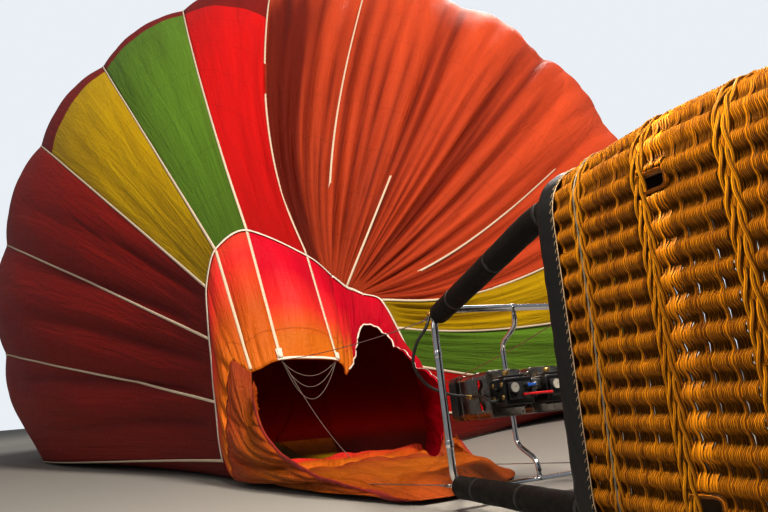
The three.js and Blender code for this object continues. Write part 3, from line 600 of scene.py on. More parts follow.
def creases(seam, along):
    """Long single creases with a sharp bottom, each with its own course and reach."""
    total = np.zeros_like(seam)
    for first, last, start, stop, depth, broad, wave in CREASES:
        part = np.clip((along - start) / (stop - start), 0, 1)
        course = first + (last - first) * part + 0.018 * np.sin(7 * part + wave)
        strength = depth * np.sin(math.pi * part ** 0.55) ** 0.8
        total -= strength * np.exp(-np.abs(seam - course) / (broad * (1 + 0.6 * part)))
    return total


def fold_shade_part(seam, along):
    """Painted shade: 0 on smooth cloth to 1 deep in a fold, where layers lie together and less light comes
    through, and high on a shaded strip between seams 5.4 and 6 near the mouth.
    """
    deep = np.clip(-creases(seam, along) / 0.085, 0, 1) ** 1.3
    fine = np.clip(1 - fine_pleats(seam, along) / 0.55, 0, 1) * near_mouth(along)
    main = np.clip(1 - main_pleats(seam, along) / 0.5, 0, 1) * window(along, (0.03, 0.1), (0.35, 0.85))
    shaded_side = window(seam, (5.40, 5.62), (5.95, 6.02)) * (1 - smoothstep(0.5, 0.75, along))
    return 0.85 * deep + 0.6 * (fine + main) * slack_part(seam) + 0.85 * shaded_side


def fullness(seam, along, width):
    """How far the cloth stands out from the plain form, in metres."""
    slack = slack_part(seam)
    near, after = 0.085 * slack + 0.008, 0.018 * slack + 0.006
    later = ridge(3.3 * seam + 0.5 * np.sin(1.3 * seam + 4 * along), 0.8)
    folds = near * near_mouth(along) * (fine_pleats(seam, along) - 0.7)
    folds += after * window(along, (0.1, 0.3), (0.6, 1.1)) * (later - 0.6)
    folds += 0.005 * np.sin(28 * along + 5 * seam) * np.sin(2.3 * seam + 11 * along)
    loose = folds * width + creases(seam, along)
    return gore_fullness(seam, along) * width + loose * airborne_part(seam)


def cloth_point(seam, along, lift=0.0):
    """A point on the cloth with its fullness, lifted outwards by a little where something is sewn on it."""
    out, width = outward_and_width(seam, along)
    stand = np.where(along >= 0, fullness(seam, along, width), 0.0)
    point = envelope_point(seam, along) + out * (stand + lift)[:, None]
    point[:, 2] = np.maximum(point[:, 2], 0.0)
    return point


def spaced(fraction, start, end):
    """Rows lie closer together near the mouth, where the cloth is gathered."""
    eased = 0.55 * fraction ** 1.6 + 0.45 * fraction
    return start + (end - start) * eased


width = outward_and_width(np.array([3.5]), np.array([1.0]))[1]
print("gore width at the widest place", round(float(width[0]), 2))

# %% [markdown]
# ## Shader groups that several finishes share
# Cloth, cane, leather and metal each need the same few effects: a weave, long wrinkles, sewn seams, streaks
# and dust. Each effect is a node group, built once and placed in a finish with its own numbers. A group gives
# only masks and heights, and the shader itself stays in the material.

# %% Node helpers and shared groups
def node(tree, kind, inputs=None, **settings):
    made = tree.nodes.new(kind)
    for key, value in settings.items():
        setattr(made, key, value)
    for key, value in (inputs or {}).items():
        if isinstance(value, bpy.types.NodeSocket):
            tree.links.new(value, made.inputs[key])
        else:
            made.inputs[key].default_value = value
    return made


def maths(tree, operation, first, second=0.0):
    return node(tree, "ShaderNodeMath", {0: first, 1: second}, operation=operation).outputs[0]


def times(tree, first, second):
    return maths(tree, "MULTIPLY", first, second)


def waves(tree, value, speed):
    """A row of rounded ridges."""
    return maths(tree, "ABSOLUTE", maths(tree, "SINE", times(tree, value, speed)))


def ranged(tree, value, low=0.0, high=1.0, first=0.0, last=1.0):
    """A value from low to high becomes first to last."""
    return node(tree, "ShaderNodeMapRange", {0: value, 1: low, 2: high, 3: first, 4: last}).outputs[0]


def noise(tree, vector, scale, detail, roughness=0.5, distortion=0.0):
    return node(tree, "ShaderNodeTexNoise", {"Vector": vector, "Scale": scale, "Detail": detail,
                                             "Roughness": roughness, "Distortion": distortion}).outputs[0]


def coordinates_of(tree, kind="Object"):
    return node(tree, "ShaderNodeTexCoord").outputs[kind]


def stored(tree, label):
    """A value that the mesh keeps for each corner."""
    return node(tree, "ShaderNodeAttribute", attribute_name=label).outputs["Fac"]


def blend_colour(tree, factor, first, second, kind="MIX"):
    made = node(tree, "ShaderNodeMix", data_type="RGBA", blend_type=kind)
    for socket, value in ((made.inputs[0], factor), (made.inputs[6], first), (made.inputs[7], second)):
        if isinstance(value, bpy.types.NodeSocket):
            tree.links.new(value, socket)
        else:
            socket.default_value = value if isinstance(value, float) else (*value, 1)
    return made.outputs[2]


def new_group(name, inputs, outputs):
    """inputs: a number or three for each, after the vector that every group takes."""
    tree = bpy.data.node_groups.new(name, "ShaderNodeTree")
    tree.interface.new_socket("Vector", in_out="INPUT", socket_type="NodeSocketVector")
    for label, default in inputs.items():
        kind = "NodeSocketFloat" if isinstance(default, float) else "NodeSocketVector"
        tree.interface.new_socket(label, in_out="INPUT", socket_type=kind).default_value = default
    for label in outputs:
        tree.interface.new_socket(label, in_out="OUTPUT", socket_type="NodeSocketFloat")
    return tree, tree.nodes.new("NodeGroupInput").outputs, tree.nodes.new("NodeGroupOutput").inputs


def stretched(tree, vector, across, along):
    scale = (across, along, 1)
    return node(tree, "ShaderNodeMapping", {"Vector": vector, "Scale": scale}).outputs[0]


# Threads that cross, with a thicker one every few millimetres
weave, given, out = new_group("crossed_threads", {"Pitch": 0.006}, ["Height"])
split = node(weave, "ShaderNodeSeparateXYZ", {0: given["Vector"]}).outputs
turns = maths(weave, "DIVIDE", math.pi, given["Pitch"])
threads = maths(weave, "MAXIMUM", *[waves(weave, split[k], turns) for k in (0, 1)])
weave.links.new(maths(weave, "POWER", threads, 6.0), out["Height"])

# Wrinkles that run along the cloth, at two sizes, and short creases across them, with a painted shade that
# follows the long wrinkles
wrinkles, given, out = new_group("hanging_wrinkles", {"Creases": 0.5}, ["Height", "Shade"])
long_noise = noise(wrinkles, stretched(wrinkles, given["Vector"], 3.2, 0.42), 1.0, 5.0, 0.55, 0.5)
fine_noise = noise(wrinkles, stretched(wrinkles, given["Vector"], 13.0, 2.1), 1.0, 4.0, 0.6, 1.0)
crease_noise = noise(wrinkles, stretched(wrinkles, given["Vector"], 5.0, 7.0), 1.0, 3.0, 0.5, 1.6)
fold, crease = (maths(wrinkles, "ABSOLUTE", maths(wrinkles, "SUBTRACT", made, 0.5))
                for made in (long_noise, crease_noise))
total = maths(wrinkles, "ADD", times(wrinkles, fold, 2.0), times(wrinkles, fine_noise, 0.35))
total = maths(wrinkles, "ADD", total, times(wrinkles, crease, given["Creases"]))
wrinkles.links.new(total, out["Height"])
wrinkles.links.new(ranged(wrinkles, long_noise, 0.3, 0.7), out["Shade"])

# Sewn seams across a gore, one at each panel
seams, given, out = new_group("panel_seams", {"Pitch": 1.03, "Width": 0.012}, ["Line"])
height = node(seams, "ShaderNodeSeparateXYZ", {0: given["Vector"]}).outputs[1]
turns = maths(seams, "DIVIDE", height, given["Pitch"])
away = times(seams, maths(seams, "PINGPONG", turns, 0.5), given["Pitch"])
seams.links.new(ranged(seams, away, given["Width"], 0.0), out["Line"])

# Blotches and streaks for dust, wear and uneven dye
controls = {"Scale": 3.0, "Stretch": (1, 1, 1)}
patches, given, out = new_group("patches_and_streaks", controls, ["Patch", "Streak"])
moved = node(patches, "ShaderNodeVectorMath", {0: given["Vector"], 1: given["Stretch"]}, operation="MULTIPLY")
broad = noise(patches, given["Vector"], given["Scale"], 4.0)
streak = noise(patches, moved.outputs[0], given["Scale"], 6.0, 0.65)
patches.links.new(ranged(patches, broad, 0.32, 0.68), out["Patch"])
patches.links.new(ranged(patches, streak, 0.32, 0.68), out["Streak"])
print("shader groups:", [g.name for g in bpy.data.node_groups])

# %% [markdown]
# ## Finishes of cloth
# Balloon cloth is thin coated nylon: it has a dull shine, and light comes through it, so it looks brighter
# where light falls on its back. Here that is a lighter colour towards the widest place. The colour of some
# gores changes at a panel seam halfway, and the panels at the top of the mouth fade from crimson to amber.

# %% Cloth finishes
HALF_GORE = 10.5     # metres of texture from the mouth to the widest place
PANEL = 1.3          # metres of texture from the mouth tape to the lip
COLOUR_SEAM = 6.9    # where the striped gores turn maroon

CLOTH_COLOURS = {
    "maroon": (0.265, 0.012, 0.006), "brick": (0.60, 0.080, 0.021), "red": (0.68, 0.0075, 0.0056),
    "green": (0.132, 0.255, 0.022), "yellow": (0.56, 0.36, 0.0005), "crimson": (0.60, 0.0010, 0.022),
    "salmon": (0.74, 0.036, 0.028), "amber": (0.60, 0.160, 0.011), "orange": (0.52, 0.098, 0.010),
}


def shaded(name, roughness, metallic=0.0, **sockets):
    material = bpy.data.materials.new(name)
    material.use_nodes = True
    tree = material.node_tree
    shader = tree.nodes["Principled BSDF"]
    shader.inputs["Roughness"].default_value = roughness
    shader.inputs["Metallic"].default_value = metallic
    for key, value in sockets.items():
        shader.inputs[key.replace("_", " ").title().replace("Ior", "IOR")].default_value = value
    return material, tree, shader


def from_group(tree, group, **inputs):
    return node(tree, "ShaderNodeGroup", inputs, node_tree=bpy.data.node_groups[group]).outputs


def bump(tree, shader, layers):
    """layers: height socket, strength, distance. Each bump feeds the next."""
    before = {}
    for height, strength, distance in layers:
        inputs = {"Height": height, "Strength": strength, "Distance": distance, **before}
        before = {"Normal": node(tree, "ShaderNodeBump", inputs).outputs[0]}
    tree.links.new(before["Normal"], shader.inputs["Normal"])


def colour_ramp(tree, factor, stops):
    made = node(tree, "ShaderNodeValToRGB", {0: factor})
    ramp = made.color_ramp
    while len(ramp.elements) < len(stops):
        ramp.elements.new(0.5)
    for element, (place, colour) in zip(ramp.elements, stops):
        element.position = place
        element.color = (*colour, 1)
    return made.outputs[0]


def darkened(tree, colour, mask, amount, shade):
    """A colour multiplied by a shade where a mask is high."""
    factor = mask if amount == 1 else times(tree, mask, amount)
    return blend_colour(tree, factor, colour, shade, "MULTIPLY")


def cloth(name, stops, low, high, wrinkle=0.05, creases=0.5, step=None):
    """stops are colours between texture heights low and high. Beyond a step the cloth is maroon."""
    material, tree, shader = shaded(name, 0.5, specular_ior_level=0.10)
    uv = coordinates_of(tree, "UV")
    along = node(tree, "ShaderNodeSeparateXYZ", {0: uv}).outputs[1]
    colour = colour_ramp(tree, ranged(tree, along, low, high), stops)
    if step is not None:
        beyond = maths(tree, "GREATER_THAN", along, step)
        colour = blend_colour(tree, beyond, colour, CLOTH_COLOURS["maroon"])
    folds = from_group(tree, "hanging_wrinkles", Vector=uv, Creases=creases)
    sewn = from_group(tree, "panel_seams", Vector=uv)["Line"]
    dye = from_group(tree, "patches_and_streaks", Vector=uv, Scale=0.9, Stretch=(1.0, 0.2, 1.0))
    # Painted shade along the long wrinkles.
    colour = darkened(tree, colour, folds["Shade"], 0.35, (0.50, 0.38, 0.38))
    colour = darkened(tree, colour, dye["Streak"], 0.18, (0.60, 0.52, 0.50))
    colour = darkened(tree, colour, sewn, 0.35, (0.30, 0.22, 0.20))
    # Painted shade in the folds and on a shaded strip near the mouth, kept on the mesh as gathered.
    colour = darkened(tree, colour, stored(tree, "gathered"), 1, (0.26, 0.16, 0.16))
    tree.links.new(colour, shader.inputs["Base Color"])
    threads = from_group(tree, "crossed_threads", Vector=uv, Pitch=0.008)["Height"]
    bump(tree, shader, [(folds["Height"], 0.55, wrinkle), (sewn, 0.4, 0.006), (threads, 0.12, 0.0006)])
    return material


def lighter(colour, by):
    return tuple(min(1.0, c * by) for c in colour)


for name in ("maroon", "brick", "red", "green", "yellow"):
    colour = CLOTH_COLOURS[name]
    dark, bright = lighter(colour, 0.62), lighter(colour, 1.30 if name == "brick" else 1.12)
    FINISH[name] = cloth(f"{name}_cloth", [(0, dark), (0.3, colour), (1, bright)], 0, HALF_GORE,
                         step=COLOUR_SEAM if name in ("red", "green", "yellow") else None)
CRIMSON, SALMON, AMBER, ORANGE = (CLOTH_COLOURS[name] for name in ("crimson", "salmon", "amber", "orange"))
AT_MOUTH = [
    # finish, material, colours from the lip up to the mouth tape
    ("crimson_panel", "crimson_to_amber_cloth",
     [(0, lighter(AMBER, 1.1)), (0.16, AMBER), (0.40, SALMON), (0.70, CRIMSON), (1, CRIMSON)]),
    ("crimson_side", "crimson_cloth", [(0, lighter(CRIMSON, 0.8)), (1, CRIMSON)]),
    ("orange_panel", "red_to_amber_cloth",
     [(0, AMBER), (0.40, ORANGE), (0.8, SALMON), (1, (0.62, 0.06, 0.03))]),
]
for finish, name, stops in AT_MOUTH:
    FINISH[finish] = cloth(name, stops, -PANEL, 0)
scoop_stops = [(0, lighter(ORANGE, 0.72)), (0.5, lighter(AMBER, 0.62)), (1, (0.34, 0.055, 0.016))]
FINISH["scoop"] = cloth("orange_scoop_cloth", scoop_stops, -2 * PANEL, -PANEL, wrinkle=0.07, creases=1.0)
print("cloth finishes:", list(FINISH))

# %% [markdown]
# ## Finishes of tape, cane, leather, metal and rubber
# Tape is a dense weave. Cane is smooth and varnished, with a golden skin that differs from strand to strand.
# Leather has pores and rubbed edges. Steel tube is nearly a mirror with fine scratches, and the burner metal
# is darkened and tinted where the flame heats it.

# %% Other finishes
def simple(name, colour, second, roughness, metallic=0.0, scale=6.0, stretch=(1, 1, 1), height=0.0,
           distance=0.002, uneven=0.08, coordinates="Object", **sockets):
    """Two colours in patches and streaks, an uneven shine and a shallow relief."""
    material, tree, shader = shaded(name, roughness, metallic, **sockets)
    place = coordinates_of(tree, coordinates)
    marks = from_group(tree, "patches_and_streaks", Vector=place, Scale=scale, Stretch=stretch)
    tree.links.new(blend_colour(tree, marks["Streak"], colour, second), shader.inputs["Base Color"])
    shine = ranged(tree, marks["Patch"], first=max(roughness - uneven, 0.03), last=roughness + uneven)
    tree.links.new(shine, shader.inputs["Roughness"])
    if height:
        bump(tree, shader, [(marks["Streak"], height, distance)])
    return material


STRANDS = 6          # ridges round one cane
# Painted shade in the cane's colour: in the grooves between its ridges, on the flanks where it meets the rows
# beside it, and deep between two swells.
GROOVE_SHADE, FLANK_SHADE, SHADE_BETWEEN_STAKES = (0.10, 0.035, 0.006), (0.055, 0.016, 0.003), (0.050, 0.015, 0.003)


def cane(name, light, dark):
    """The skin of a cane: its map runs in metres along the cane and once round it."""
    material, tree, shader = shaded(name, 0.42)
    uv = coordinates_of(tree, "UV")
    body = coordinates_of(tree)
    round_it = node(tree, "ShaderNodeSeparateXYZ", {0: uv}).outputs[1]
    strands = maths(tree, "POWER", waves(tree, round_it, math.pi * STRANDS), 0.5)
    tone = noise(tree, stretched(tree, uv, 1.6, 0.83), 1.0, 2.0)
    streak = noise(tree, stretched(tree, uv, 30.0, 40.0), 1.0, 3.0)
    patch = from_group(tree, "patches_and_streaks", Vector=body, Scale=5.0)["Patch"]
    mixed = maths(tree, "ADD", times(tree, tone, 0.9), times(tree, streak, 0.35))
    mixed = ranged(tree, maths(tree, "ADD", mixed, times(tree, patch, 0.12)), 0.46, 0.86)
    halfway = tuple((a + b) / 2 for a, b in zip(light, dark))
    colour = colour_ramp(tree, mixed, [(0, dark), (0.45, halfway), (1, light)])
    # Painted shade: darker in the grooves between the ridges and on the flanks where rows touch.
    colour = blend_colour(tree, ranged(tree, strands, 0.0, 0.75, 0.85, 0.0), colour, GROOVE_SHADE)
    flank = ranged(tree, waves(tree, round_it, math.pi * 2), 0.60, 0.95, 0.0, 0.90)
    colour = blend_colour(tree, flank, colour, FLANK_SHADE)
    # Painted shade deep between two swells, with a painted loss of shine there too.
    recess_shade = ranged(tree, stored(tree, "recess_shade"), 0.35, 1.00, 0.0, 0.86)
    tree.links.new(blend_colour(tree, recess_shade, colour, SHADE_BETWEEN_STAKES), shader.inputs["Base Color"])
    tree.links.new(ranged(tree, recess_shade, first=0.14, last=0.02), shader.inputs["Specular IOR Level"])
    bump(tree, shader, [(strands, 0.9, 0.0022), (streak, 0.15, 0.0006)])
    return material


def hide(name, colour, rubbed):
    material, tree, shader = shaded(name, 0.48, specular_ior_level=0.30)
    place = coordinates_of(tree)
    pores = node(tree, "ShaderNodeTexVoronoi", {"Vector": place, "Scale": 260.0}, feature="DISTANCE_TO_EDGE")
    creases = noise(tree, place, 28.0, 5.0)
    marks = from_group(tree, "patches_and_streaks", Vector=place, Scale=7.0)
    edge = node(tree, "ShaderNodeNewGeometry").outputs["Pointiness"]
    worn = times(tree, ranged(tree, edge, 0.50, 0.58), marks["Patch"])
    tree.links.new(blend_colour(tree, worn, colour, rubbed), shader.inputs["Base Color"])
    bump(tree, shader, [(creases, 0.35, 0.006), (pores.outputs[0], 0.25, 0.0012)])
    return material


def brushed(name, colour, tint, roughness, scale=40.0, stretch=(1, 1, 12)):
    return simple(name, colour, tint, roughness, 1.0, scale, stretch, 0.04, 0.0004, 0.06)


FINISH.update({
    "tape": simple("cream_tape", (0.78, 0.66, 0.50), (0.55, 0.42, 0.30), 0.75, scale=14, stretch=(2, 30, 1),
                   height=0.4, coordinates="UV"),
    "piping": simple("white_piping", (0.85, 0.78, 0.68), (0.66, 0.55, 0.44), 0.7, scale=14, height=0.3,
                     coordinates="UV"),
    "hem": simple("red_hem", (0.34, 0.022, 0.012), (0.22, 0.014, 0.010), 0.6, scale=9, height=0.4,
                  coordinates="UV"),
    "cane": cane("varnished_cane", (0.78, 0.305, 0.004), (0.18, 0.045, 0.0012)),
    "thick_cane": cane("thick_cane", (0.86, 0.38, 0.008), (0.38, 0.115, 0.003)),
    "stake": simple("stake_cane", (0.30, 0.14, 0.03), (0.16, 0.07, 0.015), 0.6, scale=12, height=0.2),
    "leather": hide("black_hide", (0.006, 0.0055, 0.005), (0.040, 0.032, 0.024)),
    "lacing": simple("waxed_lacing", (0.42, 0.30, 0.18), (0.24, 0.16, 0.09), 0.6, scale=60, height=0.3),
    "padding": simple("padded_cover", (0.0045, 0.0036, 0.0028), (0.010, 0.008, 0.006), 0.62, scale=9,
                      height=0.55, distance=0.010, specular_ior_level=0.14),
    "steel": brushed("polished_tube", (0.74, 0.74, 0.75), (0.62, 0.62, 0.63), 0.13),
    "can": brushed("burner_sheet", (0.30, 0.28, 0.26), (0.16, 0.14, 0.12), 0.25, 14.0, (1, 6, 1)),
    "heated": brushed("heat_tinted_steel", (0.30, 0.22, 0.17), (0.16, 0.13, 0.15), 0.38, 22.0, (1, 1, 1)),
    "alloy": brushed("machined_alloy", (0.42, 0.41, 0.40), (0.28, 0.27, 0.26), 0.30, 26.0, (8, 1, 1)),
    "dark_alloy": brushed("blackened_alloy", (0.060, 0.058, 0.055), (0.030, 0.028, 0.026), 0.34, 26.0,
                          (8, 1, 1)),
    "tank": brushed("tank_metal", (0.56, 0.57, 0.58), (0.42, 0.43, 0.45), 0.36, 9.0, (1, 1, 1)),
    "brass": brushed("brass_fitting", (0.62, 0.42, 0.16), (0.45, 0.29, 0.10), 0.30, 30.0, (1, 1, 1)),
    "black_metal": simple("black_fitting", (0.014, 0.014, 0.015), (0.035, 0.034, 0.033), 0.38, 0.2, 18,
                          height=0.1),
    "blue_paint": simple("blue_lever", (0.012, 0.07, 0.34), (0.02, 0.10, 0.42), 0.35, scale=24),
    "red_paint": simple("red_handle", (0.55, 0.010, 0.010), (0.38, 0.008, 0.008), 0.32, scale=24,
                        coat_weight=0.4),
    "dial": simple("dial_face", (0.40, 0.38, 0.33), (0.30, 0.28, 0.24), 0.35, scale=30),
    "rubber": simple("black_hose", (0.008, 0.008, 0.008), (0.018, 0.017, 0.016), 0.5, scale=20, height=0.2),
    "old_cable": simple("old_cable", (0.20, 0.17, 0.13), (0.11, 0.09, 0.07), 0.55, 0.4, 60, height=0.3),
    "wire": brushed("stranded_wire", (0.46, 0.45, 0.44), (0.28, 0.27, 0.26), 0.35, 60.0, (1, 1, 1)),
    "cord": simple("thin_cord", (0.22, 0.17, 0.15), (0.13, 0.10, 0.08), 0.8, scale=40, height=0.3),
    "board": simple("floor_board", (0.32, 0.18, 0.08), (0.20, 0.10, 0.04), 0.6, scale=3, stretch=(14, 1, 14),
                    height=0.25),
    "runner": simple("runner_wood", (0.24, 0.13, 0.06), (0.12, 0.06, 0.03), 0.7, scale=4, stretch=(10, 10, 1),
                     height=0.35),
})
print(len(FINISH), "finishes")

# %% [markdown]
# ## The gores
# Each block of gores is one piece of cloth, shaped from a flat grid by the functions above. Its sides meet
# the next block in a seam. The cloth under the envelope lies flat on the ground.

# %% Gores
def texture_height(along):
    return along * np.where(along >= 0, HALF_GORE, PANEL)


GORE_PIECES = [
    # piece, node, first seam, last seam, finish, length of the cut
    ("gore_cloth_yellow_right", "gore_yellow_right", 0, 1, "yellow", 21.0),
    ("gore_cloth_brick", "gores_brick", 1, 6, "brick", 21.5),
    ("gore_cloth_red_top", "gore_red_top", 6, 7, "red", 21.5),
    ("gore_cloth_green_top", "gore_green_top", 7, 8, "green", 21.5),
    ("gore_cloth_yellow_left", "gore_yellow_left", 8, 9, "yellow", 21.0),
    ("gore_cloth_maroon_left", "gores_maroon_left", 9, 12, "maroon", 20.5),
    ("gore_cloth_maroon_under_left", "gores_maroon_under_left", 12, 14, "maroon", 19.0),
    ("gore_cloth_red_under", "gore_red_under", 14, 15, "red", 19.0),
    ("gore_cloth_green_under", "gore_green_under", 15, 16, "green", 19.0),
    ("gore_cloth_yellow_under", "gore_yellow_under", 16, 17, "yellow", 19.0),
    ("gore_cloth_maroon_under_right", "gores_maroon_under_right", 17, 22, "maroon", 19.0),
    ("gore_cloth_red_right", "gore_red_right", 22, 23, "red", 20.0),
    ("gore_cloth_green_right", "gore_green_right", -1, 0, "green", 20.5),
]
GORE_WIDE = 2.1      # metres of texture across a gore
GORE_ROWS = 150
SEAM_RISE = ([5.5, 6, 7, 8, 9, 12], [1.20, 1.23, 0.97, 1.0, 1.08, 1.0])    # seam, how fast its panels follow


def gore_functions(first, last):
    """Where a block's corners go, and how much painted fold shade they get."""
    def place(fx, fy):
        seam, along = first + (last - first) * fx, spaced(fy, 0.0, 2.0)
        height = texture_height(along) * np.interp(seam, *SEAM_RISE)
        return cloth_point(seam, along), columns(seam * GORE_WIDE, height)

    def gathered(fx, fy):
        return fold_shade_part(first + (last - first) * fx, spaced(fy, 0.0, 2.0))
    return place, gathered


faces = 0
for name, stands_for, first, last, finish, length in GORE_PIECES:
    place, gathered = gore_functions(first, last)
    across = (10 if first >= LEFT_GROUND and last <= 22 else 24) * (last - first)
    piece = cloth_grid(name, across, GORE_ROWS, place, gathered=gathered)
    finish_piece(piece, finish, stands_for=[stands_for])
    faces += len(piece.data.polygons)
print(len(GORE_PIECES), "blocks of gores,", faces, "faces")

# %% [markdown]
# ## The mouth panels and the scoop
# Heat-proof panels hang below the mouth tape and end in a free lip. Their fullness belongs to this part of
# the cloth alone: each panel is blown out between its tapes and its lower end gathers into soft folds. The
# scoop is a wide collar that hangs from the left corner and spreads in folds over the ground.

# %% Mouth panels and scoop
def panel_fullness(seam, along, width):
    """How far the panels and the scoop stand out from the plain form."""
    below = np.clip(-along, 0, 2)
    top = window(seam, (4.6, 5.4), (8.0, 9.2))
    held = window(seam, (5.85, 6.05), (6.95, 7.15))
    blown = np.sin(math.pi * np.clip(below, 0, 1)) ** 0.8 * (0.35 + 0.65 * top)
    bulge = 0.16 * width * between_seams(seam) * blown
    folds = 0.085 * width * (ridge(1.9 * seam + 0.4 * np.sin(4 * below + seam)) - 0.6)
    folds += 0.030 * width * (ridge(4.3 * seam + 0.9 * np.sin(3 * below)) - 0.6)
    gather = window(below, (0.45, 0.95), (0.98, 1.05)) * (1 - 0.93 * held)
    scoop = 0.075 * (ridge(0.62 * seam + 0.9 * below + 0.25 * np.sin(1.7 * seam), 0.8) - 0.6)
    scoop += 0.024 * (ridge(1.9 * seam - 1.1 * below + 0.3 * np.sin(5 * below), 0.8) - 0.6)
    return bulge + folds * gather + scoop * window(below, (1.0, 1.2), (1.9, 2.0))


def ground_folds(seam, along):
    """Long ridges of loose cloth, side by side with the edge of the mouth, where it lies on the ground."""
    lies = window(seam, (12.2, 13.4), (20.6, 21.8))
    below = np.clip(-along, 0, 2)
    wave = ridge(1.65 * below + 0.30 * np.sin(0.9 * seam) + 0.1, 0.8) * 0.075
    wave += ridge(3.9 * below + 0.45 * np.sin(1.6 * seam + 1), 0.7) * 0.030
    wave += ridge(0.55 * seam + 1.2 * below, 0.8) * 0.022
    return wave * lies * smoothstep(0.0, 0.12, below) * (1 - 0.9 * smoothstep(1.85, 2.0, below))


def mouth_point(seam, along, lift=0.0):
    out, width = outward_and_width(seam, along)
    upright = 1 - window(seam, (12.0, 13.2), (21.0, 22.0))
    stand = panel_fullness(seam, along, width) * upright + lift
    point = envelope_point(seam, along) + out * stand[:, None]
    point[:, 2] = np.maximum(point[:, 2], 0.0) + ground_folds(seam, along)
    return point


MOUTH_PIECES = [
    # piece, node, first seam, last seam, from, to, finish, columns to a gore, rows, length, held
    ("mouth_cloth_right", "mouth_panels_right", -3, 4, 0, -1, "crimson_side", 18, 34, 1.25, "gathered"),
    ("mouth_cloth_top", "mouth_panels_top", 4, 7, 0, -1, "crimson_panel", 26, 44, 1.35, "hung"),
    ("mouth_cloth_top_left", "mouth_panels_top", 7, 8, 0, -1, "orange_panel", 26, 44, 1.40, "hung"),
    ("mouth_cloth_left", "mouth_panels_left", 8, 12, 0, -1, "orange_panel", 20, 34, 0.80, "hung"),
    ("mouth_cloth_under", "mouth_panels_under", 12, 21, 0, -1, "orange_panel", 14, 30, 0.90, "laid"),
    ("scoop_cloth", "scoop", 8, 22, -1, -2, "scoop", 16, 44, 1.40, "draped"),
]
PANEL_WIDE = 0.5     # metres of texture across a panel


def mouth_place(first, last, start, end):
    def place(fx, fy):
        seam, along = first + (last - first) * fx, start + (end - start) * fy
        return mouth_point(seam, along), columns(seam * PANEL_WIDE, texture_height(along))
    return place


for name, stands_for, first, last, start, end, finish, across, rows, length, held in MOUTH_PIECES:
    piece = cloth_grid(name, across * (last - first), rows, mouth_place(first, last, start, end), flip=False)
    finish_piece(piece, finish, stands_for=[stands_for])
print(len(MOUTH_PIECES), "pieces round the mouth")

# %% [markdown]
# ## Load tapes, the mouth tape and the hems
# The tapes carry the load, so they run in every seam from the crown to the mouth, and three go on to the lip.
# A ribbon is a narrow grid that follows a line on the cloth and stands a few millimetres proud of it. Ribbons
# across the cloth make the mouth tape, the white lip and the red hem of the scoop.

# %% Tapes and hems
def cloth_line(seam, along, lift=0.0):
    upper = cloth_point(seam, along, lift)
    lower = mouth_point(seam, along, lift)
    return np.where((along >= 0)[:, None], upper, lower)


HIDDEN = [
    # seam of a tape that lies under a fold, from, to
    (2, 0.00, 0.11), (2, 0.52, 0.80), (3, 0.00, 0.80), (4, 0.23, 0.84), (5, 0.00, 0.15), (6, 0.34, 0.38),
]
UNDER, FADE = 0.050, 0.02      # how deep such a tape lies, and how far it takes to sink
LOOK_AHEAD = 0.004             # the part of a ribbon's length that shows where it heads


def under_fold(seam, along):
    total = np.zeros_like(along)
    for number, start, stop in HIDDEN:
        inside = window(along, (start - FADE, start), (stop, stop + FADE))
        total += inside * (np.abs(seam - number) < 0.01)
    return np.clip(total, 0, 1)


def unit(vectors):
    return vectors / np.maximum(np.linalg.norm(vectors, axis=1, keepdims=True), 1e-9)


def ribbon(name, seams, alongs, half_width, lift, rows):
    """A tape along the line between two pairs of seam and along."""
    def on_line(part):
        return np.interp(part, (0, 1), seams), np.interp(part, (0, 1), alongs)

    def place(fx, fy):
        seam, along = on_line(fy)
        run = unit(cloth_line(*on_line(fy + LOOK_AHEAD)) - cloth_line(*on_line(fy - LOOK_AHEAD)))
        side = unit(np.cross(run, outward_and_width(seam, along)[0]))
        out = np.cross(side, run) * (lift - UNDER * under_fold(seam, along))[:, None]
        point = cloth_line(seam, along) + side * ((2 * fx - 1) * half_width)[:, None] + out
        point[:, 2] = np.maximum(point[:, 2], 0.002)
        return point, columns(fx * 2 * half_width, fy * TAPE_LONG)
    return cloth_grid(name, 2, rows, place, thickness=0.003)


TAPE_HALF, TAPE_LONG = 0.0135, 12.0
SEAM_TAPES = [
    # seams, from, to, lift, rows
    (range(0, 13), 0.0, 2.0, 0.006, 130), ((6, 7, 8), -0.98, 0.0, 0.006, 50),
    (range(13, 24), 0.0, 2.0, 0.004, 60),
]
tapes = [ribbon("load_tape", (seam, seam), (start, stop), TAPE_HALF, lift, rows)
         for seams, start, stop, lift, rows in SEAM_TAPES for seam in seams]
finish_piece(join("load_tapes", tapes), "tape")

MOUTH_TAPES = [
    # first seam, last seam, along, half width, lift, rows
    (-1.0, 12.0, 0.0, 0.015, 0.010, 260), (5.95, 7.1, -0.99, 0.012, 0.006, 50),
    (6.93, 7.10, -0.955, 0.045, 0.014, 8), (5.90, 6.05, -0.960, 0.036, 0.014, 8),
    (-2.0, 4.6, -0.985, 0.009, 0.005, 140),
]
mouth_tapes = [ribbon("mouth_tape", (first, last), (along, along), half, lift, rows)
               for first, last, along, half, lift, rows in MOUTH_TAPES]
finish_piece(join("mouth_tapes", mouth_tapes), "piping")
finish_piece(ribbon("scoop_hem", (8.1, 21.8), (-1.975, -1.975), 0.020, 0.006, 300), "hem")
print("tapes and hems made")

# %% [markdown]
# ## The crown: vent panel, ring and tapes
# The crown of the envelope is a round opening, closed from inside by a loose panel. The gore tapes run on
# over the opening to a ring in its middle, and hold the panel against the air. The panel swells a little
# between the tapes.

